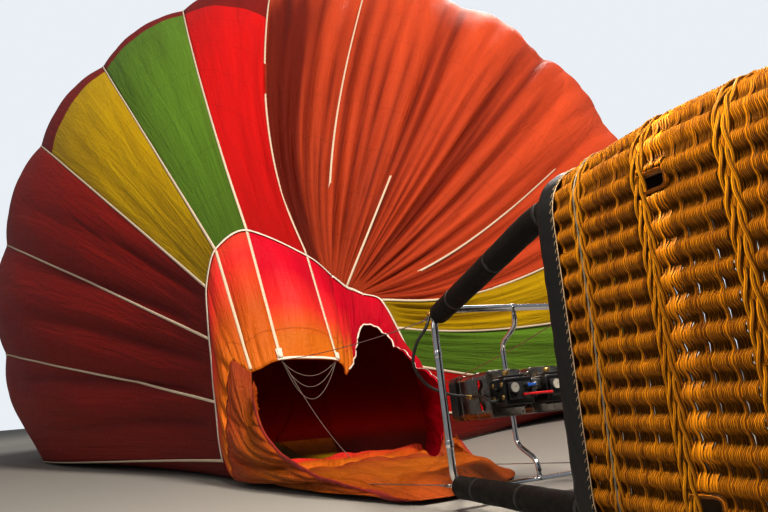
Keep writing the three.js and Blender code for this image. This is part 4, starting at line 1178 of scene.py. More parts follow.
# %% Crown
VENT = {"lap": 0.05, "dish": 0.28, "sides": 176, "rings": 24, "middle": 0.02, "behind": 0.013}
CROWN_TAPE = {"start": 0.185, "beyond": 0.35, "half": 0.024, "over_edge": 0.036, "lift": 0.006}
CROWN_RING = {"radius": 0.190, "half": 0.011, "rise": 0.30}


def vent_height(radius):
    edge = CROWN["radius"]
    return np.where(radius > edge, edge - radius, VENT["dish"] * (1 - (radius / edge) ** 2))


def vent_place(fx, fy):
    radius = VENT["middle"] + (CROWN["radius"] + VENT["lap"] - VENT["middle"]) * fy
    angle = 2 * math.pi * fx
    seam = angle / (2 * math.pi) * GORES
    inside = np.clip(radius / CROWN["radius"], 0, 1)
    swell = (0.028 * between_seams(seam) + 0.01 * np.sin(3 * angle)) * inside
    y = CROWN["y"] - VENT["behind"] + vent_height(radius) + swell * (radius < CROWN["radius"])
    angle = angle + 1.5 * math.pi - 2 * math.pi * CROWN["first_seam"] / GORES
    point = columns(CROWN["x"] + radius * np.cos(angle), y, CROWN["z"] + radius * np.sin(angle)) - MIDDLE
    return point, columns(angle * 1.2, radius * 2.0)


vent = welded(cloth_grid("vent_cloth", VENT["sides"], VENT["rings"], vent_place, thickness=0), 0.0001, False)
modified(vent, "SOLIDIFY", thickness=0.004, offset=-1)
finish_piece(smooth(vent), "maroon", body="vent", stands_for=["vent_panel"])


def crown_tape(seam):
    def place(fx, fy):
        start, end = CROWN_TAPE["start"], CROWN["radius"] + CROWN_TAPE["beyond"]
        radius = start + (end - start) * fy
        here = crown_point(np.full_like(fy, seam), radius)
        side = crown_point(np.full_like(fy, seam + GORES / 4), 1.0) - [CROWN["x"], CROWN["y"], CROWN["z"]]
        rise = np.maximum(vent_height(np.minimum(radius, CROWN["radius"])), 0)
        rise += CROWN_TAPE["over_edge"] * smoothstep(0, 0.1, 1 - fy) + CROWN_TAPE["lift"]
        rise -= 0.10 * np.clip(radius - CROWN["radius"], 0, None)
        point = here + side * ((2 * fx - 1) * CROWN_TAPE["half"])[:, None] + columns(0, rise, 0)
        return point - MIDDLE, columns(fx * 0.05, fy * 2.2)
    return cloth_grid(f"crown_tape_{seam}", 2, 24, place, thickness=0.003)


def crown_ring_place(turn, side):
    angle, round_it = 2 * math.pi * turn, 2 * math.pi * side
    radius = CROWN_RING["radius"] + CROWN_RING["half"] * np.cos(round_it)
    y = CROWN["y"] + CROWN_RING["rise"] + CROWN_RING["half"] * np.sin(round_it)
    point = columns(CROWN["x"] + radius * np.cos(angle), y, CROWN["z"] + radius * np.sin(angle))
    return point - MIDDLE, columns(turn * 1.2, side)


ring = ring_tube("crown_ring", 72, 14, crown_ring_place)
finish_piece(join("crown_tapes", [crown_tape(seam) for seam in range(GORES)]), "tape")
finish_piece(ring, "alloy", stands_for=["crown_ring_and_tapes"])
print("crown made")

# %% [markdown]
# ## Slack cords across the mouth
# Thin cords hang between the two corners of the lip, each with a sag of its own. One more runs from the left
# corner down to the cloth that lies on the ground.

# %% Mouth cords
CORD_THICK = 0.007
LEFT_CORNER, RIGHT_CORNER, ON_GROUND = (7.02, -0.990), (5.97, -0.985), (17.5, -0.80)
MOUTH_CORDS = [
    # name, from, to, sag
    ("mouth_cord_high", LEFT_CORNER, RIGHT_CORNER, 0.14),
    ("mouth_cord_middle", LEFT_CORNER, RIGHT_CORNER, 0.23),
    ("mouth_cord_low", LEFT_CORNER, RIGHT_CORNER, 0.33),
    ("mouth_rope", LEFT_CORNER, ON_GROUND, 0.06),
]


def cloth_spot(seam, along):
    return Vector(cloth_line(np.array([seam]), np.array([along]), -0.010)[0])


def hanging(start, end, sag, steps):
    """A line between two places that sags in its middle."""
    parts = [step / steps for step in range(steps + 1)]
    return [start.lerp(end, part) - Vector((0, 0, 4 * sag * part * (1 - part))) for part in parts]


for number, (name, first, last, sag) in enumerate(MOUTH_CORDS):
    start, end = cloth_spot(*first), cloth_spot(*last)
    start += Vector((0.012 * number, 0, -0.010 * number))
    route = hanging(start, end, sag, 28)
    piece = finish_piece(bent_tube(name, route, CORD_THICK / 2, 8), "cord")
print(len(MOUTH_CORDS), "cords across the mouth")

# %% [markdown]
# ## The woven wall
# The basket has its own axes: x across, z up as it lies, and y from the floor at -1.15 m to the rim at 0.
# Canes run round the wall. They swell outwards over each stake and dip between two stakes, so the wall shows
# bright bands with dark bands between them, and painted shade makes the dips darker still. One cane in eight
# dips less and crosses the dark bands.

# %% Basket axes and the path round the wall
BASKET = Matrix.Translation((1.002, -9.274, 0.72)) @ Matrix.Rotation(math.radians(19.6), 4, "Z")
WALL = {"half_x": 0.723, "half_z": 0.693, "corner": 0.191, "top": -0.040, "foot": -1.107, "stakes": 64,
        "belly": 0.036}
WALL_SHAPE = (WALL["half_x"], WALL["half_z"], WALL["corner"])
ROUND_WALL = length_round(*WALL_SHAPE)
INSIDE_X, INSIDE_Z = 0.704, 0.674       # from the basket's axis to the inner faces of its walls


def belly(y):
    """How far the wall has swollen out at a height, from years of loads."""
    between = np.clip((-np.asarray(y, float) - 0.09) / 0.98, 0, 1)
    return WALL["belly"] * np.sin(math.pi * between) ** 0.8


def wall_point(metres, out, y=0.0):
    """x and z of the wall, metres round from the middle of the right side, out from its middle."""
    x, z, nx, nz = rounded_rectangle(np.mod(np.asarray(metres, float), ROUND_WALL), *WALL_SHAPE)
    out = out + belly(y) * np.clip(1 + nz, 0, 1)
    return x + nx * out, z + nz * out


def loop_round(out, y, half, swollen=True):
    """Places for a plain ring of cord round the wall, where it has swollen out or before."""
    def place(turn, side):
        metres, around = turn * ROUND_WALL, 2 * math.pi * side
        x, z = wall_point(metres, out + half * np.cos(around), y if swollen else 0.0)
        return columns(x, y + half * np.sin(around), z), columns(metres, side)
    return place


PITCH = ROUND_WALL / WALL["stakes"]
rng = np.random.default_rng(7)
HOLES = {"y": -0.590, "half_y": 0.055, "z": 0.475, "half_z": 0.030}
print("round the wall", round(ROUND_WALL, 3), "m, stakes every", round(1000 * PITCH), "mm")

# %% [markdown]
# The first corner of the path is at the middle of the right side, so the footholds lie at four known lengths
# round it. A row at their height is built in four open pieces that end at their edges.

# %% Canes of the wall
ROW = {"pitch": 0.0100, "half_y": 0.0057, "half_out": 0.0050, "swell": 0.0120, "steps": 256,
       "open_steps": 320, "sides": 5}
WALES = [-0.235, -0.545, -0.845, -1.075]    # the middles of the thick twisted rows
WALE_HALF = 0.030
PROUD_EVERY, PROUD = 8, 0.44     # one cane in so many dips less, and by how much
EACH_CANE = 3                    # the step in the texture from one cane to the next
SPREAD = 9000                    # makes a cane's small shift a large one in its texture
RING_START = PITCH / 8           # where a ring's first corner is, on the flank of a swell


def hole_spans():
    """Where each foothold starts and ends, in metres round the wall."""
    spans = []
    for middle, sign in ((0.0, 1), (ROUND_WALL / 2, -1)):
        for z in (HOLES["z"], -HOLES["z"]):
            centre = (middle + sign * z) % ROUND_WALL
            spans.append((centre - HOLES["half_z"], centre + HOLES["half_z"]))
    return sorted(spans)


def cane_out(metres, proud, swell, shift):
    """proud is 0 for a cane that dips between the stakes, and 1 for one that runs straight over them."""
    wave = np.tanh(2.4 * (np.cos(2 * math.pi * (metres + shift) / PITCH) + 0.28)) / math.tanh(2.4)
    return swell * (wave * (1 - 0.85 * proud) + 0.80 * proud)


def cane_section(metres, side, y, proud, swell, shift, drift):
    around = 2 * math.pi * side
    out = cane_out(metres, proud, swell, shift) + ROW["half_out"] * np.cos(around)
    lean = drift * np.sin(2 * math.pi * metres / ROUND_WALL * 3 + y * 40)
    x, z = wall_point(metres, out, y)
    return columns(x, y + lean + ROW["half_y"] * (1 + 0.9 * proud) * np.sin(around), z)


def mark_depth(cane, metres, shape):
    """Stores how deep each corner lies between two swells, for the finish to paint shade there."""
    return mark_corners(cane, "recess_shade", 0.5 - 0.5 * cane_out(metres, *shape[:3]) / ROW["swell"])


def open_cane(name, first, last, y, *shape):
    steps = max(8, int((last - first) / ROUND_WALL * ROW["open_steps"]))

    def place(fx, fy):
        metres = first + (last - first) * fy
        full = cane_section(metres, fx, y, *shape)
        x, z = wall_point(metres, cane_out(metres, *shape[:3]), y)
        core = columns(x, y, z)
        near_end = np.clip(np.minimum(fy, 1 - fy) * steps, 0, 1)[:, None]
        row = round(-y / ROW["pitch"])
        texture = columns(metres + shape[2] * SPREAD, fx + EACH_CANE * row)
        return core + (full - core) * near_end ** 0.5, texture
    cane = cloth_grid(name, ROW["sides"], steps, place, thickness=0)
    rows_along = np.arange(len(cane.data.vertices)) // (ROW["sides"] + 1) / steps
    mark_depth(cane, first + (last - first) * rows_along, shape)
    return welded(cane, 0.00005, False)


def row_of_canes(row, y):
    swell = ROW["swell"] * rng.uniform(0.90, 1.05)
    if min(abs(y - wale) for wale in WALES) < WALE_HALF:
        swell = 0.5 * swell
    proud = PROUD if round((WALL["top"] - y) / ROW["pitch"]) % PROUD_EVERY == 0 else 0.0
    shape = (proud, swell, rng.normal(0, 0.0018), 0.0010)
    offset = rng.uniform(0, 50)
    if abs(y - HOLES["y"]) < HOLES["half_y"]:
        spans = hole_spans()
        ends = [span[0] for span in spans[1:]] + [spans[0][0] + ROUND_WALL]
        return [open_cane("cane", span[1], end, y, *shape) for span, end in zip(spans, ends)]

    def place(turn, side):
        metres = turn * ROUND_WALL + RING_START
        return cane_section(metres, side, y, *shape), columns(metres + offset, side + EACH_CANE * row)
    cane = ring_tube("cane", ROW["steps"], ROW["sides"], place)
    turns = np.arange(len(cane.data.vertices)) // ROW["sides"] / ROW["steps"]
    return [mark_depth(cane, turns * ROUND_WALL + RING_START, shape)]


rows = np.arange(WALL["top"] - 0.006, WALL["foot"] + 0.004, -ROW["pitch"])
bands = [[y for y in rows if low < y <= high] for high, low in zip((0, *WALES[:3]), (*WALES[:3], -2))]
for number, band in enumerate(bands):
    canes = [cane for row, y in enumerate(band) for cane in row_of_canes(100 * number + row, float(y))]
    stands_for = ["basket_wall"] if number == 0 else ()
    woven = assembled(f"woven_wall_{number + 1}", canes, BASKET, "cane", stands_for=stands_for)
    print(woven.name, len(band), "rows,", len(woven.data.polygons), "faces")

# %% [markdown]
# ## Stakes and thick twisted rows
# Behind the swells stand the stakes. At four heights, two pairs of thick canes twist round one another. A
# steel cable lies between the uppermost two pairs and carries the basket's load.

# %% Stakes and twisted rows
def stake(number):
    heights = np.linspace(WALL["foot"], WALL["top"], 13)
    x, z = wall_point(np.full(13, number * PITCH), -0.002, heights)
    return bent_tube("stake", columns(x, heights, z).tolist(), 0.0075, 8)


stakes = placed(join("stakes", [stake(number) for number in range(WALL["stakes"])]), BASKET)
finish_piece(smooth(stakes, 50), "stake")

ROUND_STEPS = 248
TWIST = {"out": 0.0105, "half": 0.0068, "reach_y": 0.0075, "reach_out": 0.0060, "apart": 0.0150,
         "turns": 31, "steps": ROUND_STEPS, "sides": 7}


def twisted_strand(y, strand, hand):
    """One of a pair of strands; hand is 1 or -1 for the way it turns."""
    def place(turn, side):
        metres, around = turn * ROUND_WALL, 2 * math.pi * side
        twist = 2 * math.pi * (turn * TWIST["turns"] * hand + strand / 2)
        out = TWIST["out"] + TWIST["reach_out"] * np.cos(twist) + TWIST["half"] * 0.85 * np.cos(around)
        x, z = wall_point(metres, out, y)
        along = y + TWIST["reach_y"] * np.sin(twist) + TWIST["half"] * np.sin(around)
        return columns(x, along, z), columns(metres + strand * 3.1, side)
    return ring_tube("strand", TWIST["steps"], TWIST["sides"], place)


strands = [twisted_strand(wale + hand * TWIST["apart"], strand, hand)
           for wale in WALES for hand in (1, -1) for strand in range(2)]
assembled("twisted_rows", strands, BASKET, "thick_cane")
cable = ring_tube("basket_cable", ROUND_STEPS, 8, loop_round(0.0165, WALES[0], 0.0035))
finish_piece(placed(cable, BASKET), "old_cable")
print("stakes", WALL["stakes"], "twisted strands", len(strands))

# %% [markdown]
# ## Edges of the footholds
# Each foothold is bound with cane on its edge.

# %% Foothold edges
EDGE_HALF = 0.0055      # half the thickness of one binding


def edge_of_foothold(side, z, layer):
    """A squared ring round a foothold; side is 1 at the right, -1 at the left."""
    def place(turn, tube):
        angle, around = 2 * math.pi * turn, 2 * math.pi * tube
        cosine, sine, square = np.cos(angle), np.sin(angle), squared(angle, 5)
        bind = 1 + 0.10 * np.cos(2 * math.pi * turn * 26)
        grow = EDGE_HALF * np.cos(around)
        up = z + (HOLES["half_z"] - 0.001) * sine * square
        metres = (up if side > 0 else ROUND_WALL / 2 - up) + side * grow * sine
        y = HOLES["y"] + (HOLES["half_y"] - 0.001) * cosine * square + grow * bind * cosine
        x, zz = wall_point(metres, layer + EDGE_HALF * bind * np.sin(around), y)
        return columns(x, y, zz), columns(turn * 0.34, tube)
    return ring_tube("foothold_edge", 64, 8, place)


edges = [edge_of_foothold(side, z, layer) for side in (-1, 1) for z in (-HOLES["z"], HOLES["z"])
         for layer in (-0.009, 0.000, 0.009)]
assembled("foothold_edges", edges, BASKET, "cane")
print("foothold edges", len(edges))

# %% [markdown]
# ## Leather rim, hem, floor and skids
# A padded roll of black hide covers the rim, with a skirt down over the first canes. A waxed lacing runs
# along the skirt's edge. The foot of the wall has a hem of the same hide, screwed to a floor board on skids.

# %% Rim, hem, floor and skids
RIM_PROFILE = [
    # out from the wall's middle, y: outer skirt, roll and inner lip
    (0.0205, -0.100), (0.0235, -0.085), (0.0245, -0.055), (0.0270, -0.030), (0.0255, -0.010),
    (0.0150, 0.0005), (-0.0020, 0.0020), (-0.0170, -0.0010), (-0.0250, -0.012), (-0.0260, -0.030),
    (-0.0225, -0.048), (-0.0190, -0.048), (-0.0205, -0.032), (-0.0180, -0.0200), (0.0150, -0.0200),
    (0.0195, -0.038), (0.0185, -0.060), (0.0170, -0.085), (0.0165, -0.099),
]
HEM_PROFILE = [
    # out from the wall's middle, y
    (0.0195, -1.107), (0.0265, -1.107), (0.0268, -1.05), (0.0262, -0.992), (0.0240, -0.987), (0.0200, -0.990),
    (0.0190, -1.0), (0.0190, -1.06),
]
RIM_PUCKERS = [(0.0009, 186, 0), (0.0012, 41, 120)]      # depth, number round the wall, lean
HEM_PUCKERS = [(0.0006, 130, 0)]


def leather_round(name, sides, profile, puckers, texture):
    """A band of hide round the wall, with a profile and fine puckers."""
    def place(turn, side):
        out, y = profile_point(profile, side)
        angle = 2 * math.pi * turn
        creased = out + sum(depth * np.sin(number * angle + lean * y) for depth, number, lean in puckers)
        x, z = wall_point(turn * ROUND_WALL, creased)
        return columns(x, y, z), columns(turn * ROUND_WALL, side * texture)
    return placed(ring_tube(name, ROUND_STEPS, sides, place), BASKET)


rim = leather_round("leather_rim", 28, RIM_PROFILE, RIM_PUCKERS, 0.3)
finish_piece(rim, "leather", stands_for=["basket_rim"])

LACING = {"stitches": 178, "y": -0.094, "out": 0.0235, "edge_y": -0.1015, "edge_out": 0.0225, "half": 0.0016,
          "edge_half": 0.0020}
RIVETS = {"count": 62, "y": -1.085, "radius": 0.008, "out": (0.0262, 0.0290)}
BOARD = {"size": (1.404, 0.020, 1.344), "y": -1.0977}
SKIDS = {"count": 3, "size": (0.070, 0.032, 1.020), "y": -1.1240, "apart": 0.6}


def stitch(number):
    s = ROUND_WALL * (number + 0.5) / LACING["stitches"]
    out, y = LACING["out"], LACING["y"]
    x, z = wall_point(np.array([s - 0.006, s, s + 0.010]), np.array([out, out + 0.002, out]))
    return bent_tube("lacing_stitch", columns(x, [y - 0.007, y, y + 0.007], z).tolist(), LACING["half"], 8)


lacing = [stitch(number) for number in range(LACING["stitches"])]
edge = loop_round(LACING["edge_out"], LACING["edge_y"], LACING["edge_half"], swollen=False)
lacing.append(ring_tube("lacing_edge", ROUND_STEPS, 8, edge))
assembled("rim_lacing", lacing, BASKET, "lacing")

hem = leather_round("leather_hem", 14, HEM_PROFILE, HEM_PUCKERS, 0.25)
finish_piece(hem, "leather", stands_for=["basket_hem"])
rivets = []
for number in range(RIVETS["count"]):
    (x0, x1), (z0, z1) = wall_point(np.full(2, (number + 0.5) * PITCH), np.array(RIVETS["out"]))
    inner, outer = (x0, RIVETS["y"], z0), (x1, RIVETS["y"], z1)
    rivets.append(drum("hem_rivet", RIVETS["radius"], inner, outer, 12, 0.0012))
assembled("hem_rivets", rivets, BASKET, "brass")

board = block("floor_board", BOARD["size"], (0, BOARD["y"], 0), 0.002, 2)
finish_piece(placed(board, BASKET), "board", stands_for=["basket_floor"])
for number in range(SKIDS["count"]):
    skid = block("skid", SKIDS["size"], (SKIDS["apart"] * (number - 1), SKIDS["y"], 0), 0.006, 3)
    stands_for = [f"basket_skid_{number + 1}"]
    assembled(f"skid_wood_{number + 1}", [skid], BASKET, "runner", stands_for=stands_for)
print("rim, hem, floor and skids made")

# %% [markdown]
# ## Fuel cylinders
# Four cylinders stand in the corners, each with a ring collar round its valve and two buckled straps.

# %% Fuel cylinders
TANK = {"x": INSIDE_X - 0.188, "z": INSIDE_Z - 0.188, "foot": -1.0874}
STRAPS = {"heights": (0.24, 0.64), "radius": 0.1505, "half_thick": 0.0015, "half_wide": 0.022}
TANK_PROFILE = [
    # distance from the axis, height
    (0.0005, 0.0), (0.06, 0.0), (0.10, 0.004), (0.128, 0.018), (0.143, 0.042), (0.148, 0.075), (0.148, 0.10),
    (0.1505, 0.102), (0.1505, 0.108), (0.148, 0.11), (0.148, 0.45), (0.1475, 0.47), (0.148, 0.49),
    (0.148, 0.76), (0.1505, 0.762), (0.1505, 0.768), (0.148, 0.77), (0.148, 0.79), (0.143, 0.818),
    (0.128, 0.842), (0.10, 0.856), (0.06, 0.861), (0.0005, 0.862),
]
COLLAR_PROFILE = [(0.0905, 0.855), (0.0905, 0.917), (0.0925, 0.9195), (0.0945, 0.917), (0.0945, 0.855)]
CORNERS = {"left_top": (-1, 1), "right_top": (1, 1), "left_low": (-1, -1), "right_low": (1, -1)}


def lathe(name, around, steps, place):
    """A turned body: a grid rolled up, with its seam and poles welded."""
    return smooth(welded(cloth_grid(name, around, steps, place, thickness=0), 0.0008), 45)


def strap_round(height):
    """A flat strap round a cylinder, at a height."""
    def place(turn, side):
        angle, around = 2 * math.pi * turn, 2 * math.pi * side
        radius = STRAPS["radius"] + STRAPS["half_thick"] * np.cos(around) * squared(around, 6)
        y = height + STRAPS["half_wide"] * np.sin(around) * squared(around, 6)
        return columns(radius * np.cos(angle), y, radius * np.sin(angle)), columns(turn, side * 0.05)
    return ring_tube("tank_strap", 64, 12, place)


for where, (sx, sz) in CORNERS.items():
    spot = BASKET @ Matrix.Translation((sx * TANK["x"], TANK["foot"], sz * TANK["z"]))
    tank = [lathe("tank", 48, 44, turned(TANK_PROFILE, closed=False)),
            ring_tube("tank_collar", 48, 10, turned(COLLAR_PROFILE))]
    assembled(f"tank_{where}", tank, spot, "tank", stands_for=[f"fuel_cylinder_{where}"])
    fittings = [drum("valve_stem", 0.016, (0, 0.860, 0), (0, 0.885, 0)),
                drum("valve_hex", 0.022, (0, 0.872, 0), (0, 0.884, 0), 6),
                drum("valve_side", 0.010, (0, 0.878, 0), (-0.045 * sx, 0.878, 0)),
                drum("gauge_rim", 0.020, (0.03, 0.862, 0.045), (0.03, 0.880, 0.045))]
    assembled(f"tank_valve_{where}", fittings, spot, "brass")
    wheel = drum("tank_wheel", 0.026, (0, 0.886, 0), (0, 0.902, 0), 14, 0.004)
    assembled(f"tank_wheel_{where}", [wheel], spot, "red_paint")
    straps = []
    for y in STRAPS["heights"]:
        straps += [strap_round(y), block("strap_buckle", (0.008, 0.050, 0.046), (-sx * 0.1535, y, 0), 0.002)]
    assembled(f"tank_straps_{where}", straps, spot, "black_metal")
print("four fuel cylinders")

# %% [markdown]
# ## Load frame, yoke and shackles
# The load frame has its own axes too, 1.21 m in front of the rim. It is one bent tube, polished nearly to a
# mirror. Two lugs on it hold the yoke, a bowed tube that swivels, and the burners tilt on its cross pin.

# %% Load frame, yoke and shackles
FRAME = BASKET @ Matrix.Translation((0, 1.210, -0.145)) @ Matrix.Rotation(math.radians(-3.2), 4, "X")
HALF_W, HALF_H, TUBE, BEND = 0.550, 0.490, 0.020, 0.110
PIN_Y = 0.170                                # the yoke's cross pin, on which the burners tilt
CORNER_CUT = BEND * (1 - math.sqrt(0.5))     # how far the tube passes inside a square corner
SHACKLE = {"half_x": 0.032, "half_y": 0.052, "wire": 0.0058, "lift": 6 / 32, "seat": 0.0194}


def frame_place(turn, side):
    """The rounded rectangle of the frame, from the middle of its right side."""
    metres, around = turn * length_round(HALF_W, HALF_H, BEND), 2 * math.pi * side
    x, z, nx, nz = rounded_rectangle(metres, HALF_W, HALF_H, BEND)
    out = TUBE * np.cos(around)
    return columns(x + nx * out, TUBE * np.sin(around), z + nz * out), columns(metres, side)


parts = [ring_tube("frame_tube", 240, 24, frame_place)]
for sign in (-1, 1):
    edge = sign * HALF_H
    parts.append(drum("frame_lug", 0.013, (0, 0, edge), (0, 0, sign * (HALF_H - 0.044)), 24))
    parts.append(drum("frame_collar", 0.023, (-0.020, 0, edge), (0.020, 0, edge), 24, 0.002))
    for x in (-HALF_W, HALF_W):
        parts.append(drum("frame_sleeve", 0.0225, (x, 0, sign * 0.22), (x, 0, sign * 0.26), 24, 0.002))
assembled("steel_frame", parts, FRAME, "steel", stands_for=["load_frame"])

yoke_top = HALF_H - TUBE - 0.024 - 0.0006
half_bow = [(0, 0, yoke_top), (0, 0, yoke_top - 0.060), (0, PIN_Y, yoke_top - 0.150)]
bow = half_bow + [(x, y, -z) for x, y, z in reversed(half_bow)]
parts = [bent_tube("yoke_tube", rounded_route(bow, 0.050, 8), 0.0150, 20),
         drum("cross_pin", 0.011, (-0.0265, PIN_Y, 0), (0.0265, PIN_Y, 0), 24, 0.001),
         drum("pin_boss", 0.022, (-0.018, PIN_Y, 0), (0.018, PIN_Y, 0), 24, 0.002)]
assembled("steel_yoke", parts, FRAME, "steel", body="yoke", stands_for=["yoke"])


def shackle(sx, sz):
    """A bowed loop that is narrower at its foot, with a screw sleeve and a strap."""
    half_x, half_y, wire = SHACKLE["half_x"], SHACKLE["half_y"], SHACKLE["wire"]
    rise = SHACKLE["seat"] + (1 + SHACKLE["lift"]) * half_y
    middle = Vector((sx * (HALF_W - CORNER_CUT), rise, sz * (HALF_H - CORNER_CUT)))

    def place(turn, side):
        angle, around = 2 * math.pi * turn, 2 * math.pi * side
        x = (half_x - 0.006 * np.sin(angle) ** 4 * (np.sin(angle) < 0)) * np.cos(angle)
        y = half_y * np.sin(angle)
        out = wire * np.cos(around)
        points = columns(x + out * np.cos(angle), y + out * np.sin(angle), wire * np.sin(around))
        return points, columns(turn, side)
    loop = placed(ring_tube("shackle_loop", 64, 14, place), Matrix.Translation(middle))
    low, high = middle + Vector((half_x, -0.022, 0)), middle + Vector((half_x, 0.022, 0))
    sleeve = drum("shackle_sleeve", 0.0095, low, high, 6, 0.001)
    strap = block("shackle_strap", (0.036, 0.006, 0.030), middle - Vector((0, 0.061, 0)), 0.002)
    return [loop, sleeve, strap]


for where, (sx, sz) in CORNERS.items():
    assembled(f"screw_link_{where}", shackle(sx, sz), FRAME, "alloy", stands_for=[f"shackle_{where}"])
print("frame, yoke and four links")

# %% [markdown]
# ## Padded pole covers
# Foam in a black sleeve covers each pole, from inside the basket to the corner of the frame. The sleeve is
# closed along one side with a seam, where it puckers most, and three rubber ties hold it.

# %% Pole covers
POLE = {"radius": 0.060, "from_wall": 0.0333, "foot": -0.100, "bend_at": 0.130, "bend": 0.120,
        "inside_frame": 0.028, "under_top": 0.022, "under_low": 0.0206}


def pole_route(sx, sz):
    """From inside the basket, over the rim and on to a corner of the frame, in the basket's axes."""
    inset = POLE["radius"] + POLE["from_wall"]
    foot = Vector((sx * (INSIDE_X - inset), POLE["foot"], sz * (INSIDE_Z - inset)))
    rim = Vector((foot.x, POLE["bend_at"], foot.z))
    under = POLE["under_top"] if sz > 0 else POLE["under_low"]
    x, z = sx * (HALF_W - POLE["inside_frame"]), sz * (HALF_H - POLE["inside_frame"])
    top = BASKET.inverted() @ FRAME @ Vector((x, -under, z))
    return rounded_route([foot, rim, top], POLE["bend"], 10)


def along_route(route, steps):
    """Even steps along a route: places and directions."""
    route = np.array([tuple(p) for p in route])
    lengths = np.concatenate([[0], np.cumsum(np.linalg.norm(np.diff(route, axis=0), axis=1))])
    where = np.linspace(0, lengths[-1], steps + 1)
    middle = np.stack([np.interp(where, lengths, route[:, k]) for k in range(3)], 1)
    run = np.gradient(middle, axis=0)
    return middle, run / np.linalg.norm(run, axis=1, keepdims=True), where


COVER = {"steps": 150, "radius": 0.0590 - 0.0012, "bands": (0.16, 0.50, 0.84), "seam": 0.60, "end": 0.012}
TIES = {"steps": (24, 75, 126), "radius": 0.0575, "half": 0.010}


def cover(name, sx, sz):
    steps = COVER["steps"]
    middle, run, where = along_route(pole_route(sx, sz), steps)
    first = np.cross(run, np.array([0.0, 0.0, 1.0]))
    first /= np.linalg.norm(first, axis=1, keepdims=True)
    second = np.cross(first, run)

    def place(fx, fy):
        step = np.clip(np.round(fy * steps).astype(int), 0, steps)
        angle, metres = 2 * math.pi * fx, where[step]
        seam = np.exp(-((np.mod(fx - COVER["seam"] + 0.5, 1) - 0.5) / 0.018) ** 2)
        radius = COVER["radius"] + 0.0011 * np.sin(3 * angle + 9 * metres) * np.sin(14 * metres + sx)
        radius += 0.0010 * np.sin(60 * metres + 2 * np.sin(angle)) * (0.4 + seam) - 0.0016 * seam
        for band in COVER["bands"]:
            radius -= 0.0030 * np.exp(-((metres - band * where[-1]) / 0.012) ** 2)
        from_end = np.minimum(metres, where[-1] - metres) / COVER["end"]
        radius = np.where(from_end < 1, radius - 0.010 * (1 - from_end) ** 2, radius)
        radius = np.where((step == 0) | (step == steps), 0.0003, radius)
        step = np.where(step == 1, 0, np.where(step == steps - 1, steps, step))
        out = np.cos(angle)[:, None] * first[step] + np.sin(angle)[:, None] * second[step]
        return middle[step] + radius[:, None] * out, columns(fx * 0.37, metres)
    return lathe(name, 30, 120, place)


for where, (sx, sz) in CORNERS.items():
    made = placed(cover(f"padded_cover_{where}", sx, sz), BASKET)
    finish_piece(made, "padding", stands_for=[f"pole_cover_{where}"])
    middle, run, lengths = along_route(pole_route(sx, sz), COVER["steps"])
    ties = []
    for step in TIES["steps"]:
        at, reach = middle[step], run[step] * TIES["half"]
        ties.append(drum("cover_tie", TIES["radius"], Vector(at - reach), Vector(at + reach), 40, 0.002))
    assembled(f"cover_ties_{where}", ties, BASKET, "rubber")
print("four pole covers")

# %% [markdown]
# ## The double burner
# Each burner is an open steel can round a coil of fuel pipe, with a valve block behind it. The pair hangs on
# the yoke's cross pin, and all of it tilts together. The can's mouth is blackened by heat, and each side of
# the can has a tall slot near the back.

# %% Burner cans
CAN = {"half_x": 0.116, "half_z": 0.130, "corner": 0.040, "x": 0.143}
CAN_SHAPE = (CAN["half_x"], CAN["half_z"], CAN["corner"])
SLEEVE_PROFILE = [
    # out from the section, height
    (-0.0012, 0.0), (0, 0.0012), (0, 0.060), (0, 0.200), (0, 0.352), (-0.0012, 0.3535), (-0.0035, 0.352),
    (-0.0035, 0.200), (-0.0035, 0.060), (-0.0035, 0.0012),
]
OUTLET_PROFILE = [
    # out from the section, height
    (0.0005, 0.348), (0.0022, 0.350), (0.0022, 0.424), (0.0010, 0.4296), (-0.0050, 0.4300), (-0.0060, 0.426),
    (-0.0060, 0.352), (-0.0045, 0.348),
]
BEADS = (0.018, 0.145, 0.300)
SLOT = {"size": (0.040, 0.058, 0.178), "height": 0.075, "bevel": 0.026}


def shell(name, profile, around=128):
    """A rounded rectangular sleeve with a profile round its wall."""
    def place(turn, side):
        out, y = profile_point(profile, side)
        metres = np.mod(turn, 1) * length_round(*CAN_SHAPE)
        x, z, nx, nz = rounded_rectangle(metres, *CAN_SHAPE)
        return columns(x + nx * out, y, z + nz * out), columns(turn, y)
    return smooth(welded(ring_tube(name, around, len(profile), place)), 40)


def cut(piece, cutters):
    for cutter in cutters:
        modified(piece, "BOOLEAN", operation="DIFFERENCE", object=cutter, solver="MANIFOLD")
        only(cutter)
        bpy.ops.object.delete()
    return piece


def make_can(where, spot):
    """The sleeve with its slots and beads, and the outlet with its louvres."""
    sleeve = shell("can_sleeve", SLEEVE_PROFILE)
    cutters = [block("slot_cutter", SLOT["size"], (x, SLOT["height"], 0), SLOT["bevel"], 6)
               for x in (-CAN["half_x"], CAN["half_x"])]
    sleeve = smooth(cut(sleeve, cutters), 40)
    beads = [shell("can_bead", [(0.0002, y - 0.004), (0.0022, y), (0.0002, y + 0.004), (-0.0010, y)])
             for y in BEADS]
    assembled(f"can_{where}", [sleeve, *beads], spot, "can", "burner", [f"burner_can_{where}"])
    outlet = [shell("outlet", OUTLET_PROFILE)]
    for x in (-CAN["half_x"] - 0.0022, CAN["half_x"] + 0.0022):
        outlet += [block("louvre", (0.003, 0.006, 0.120), (x, 0.362 + 0.013 * n, 0), 0.0012, 2)
                   for n in range(5)]
    assembled(f"outlet_{where}", outlet, spot, "black_metal", "burner")


# %% [markdown]
# Inside each can, fuel runs five times round a coil that the flame heats, and comes out of twelve jets. The
# block of valves behind the back plate carries the controls, which face the basket.

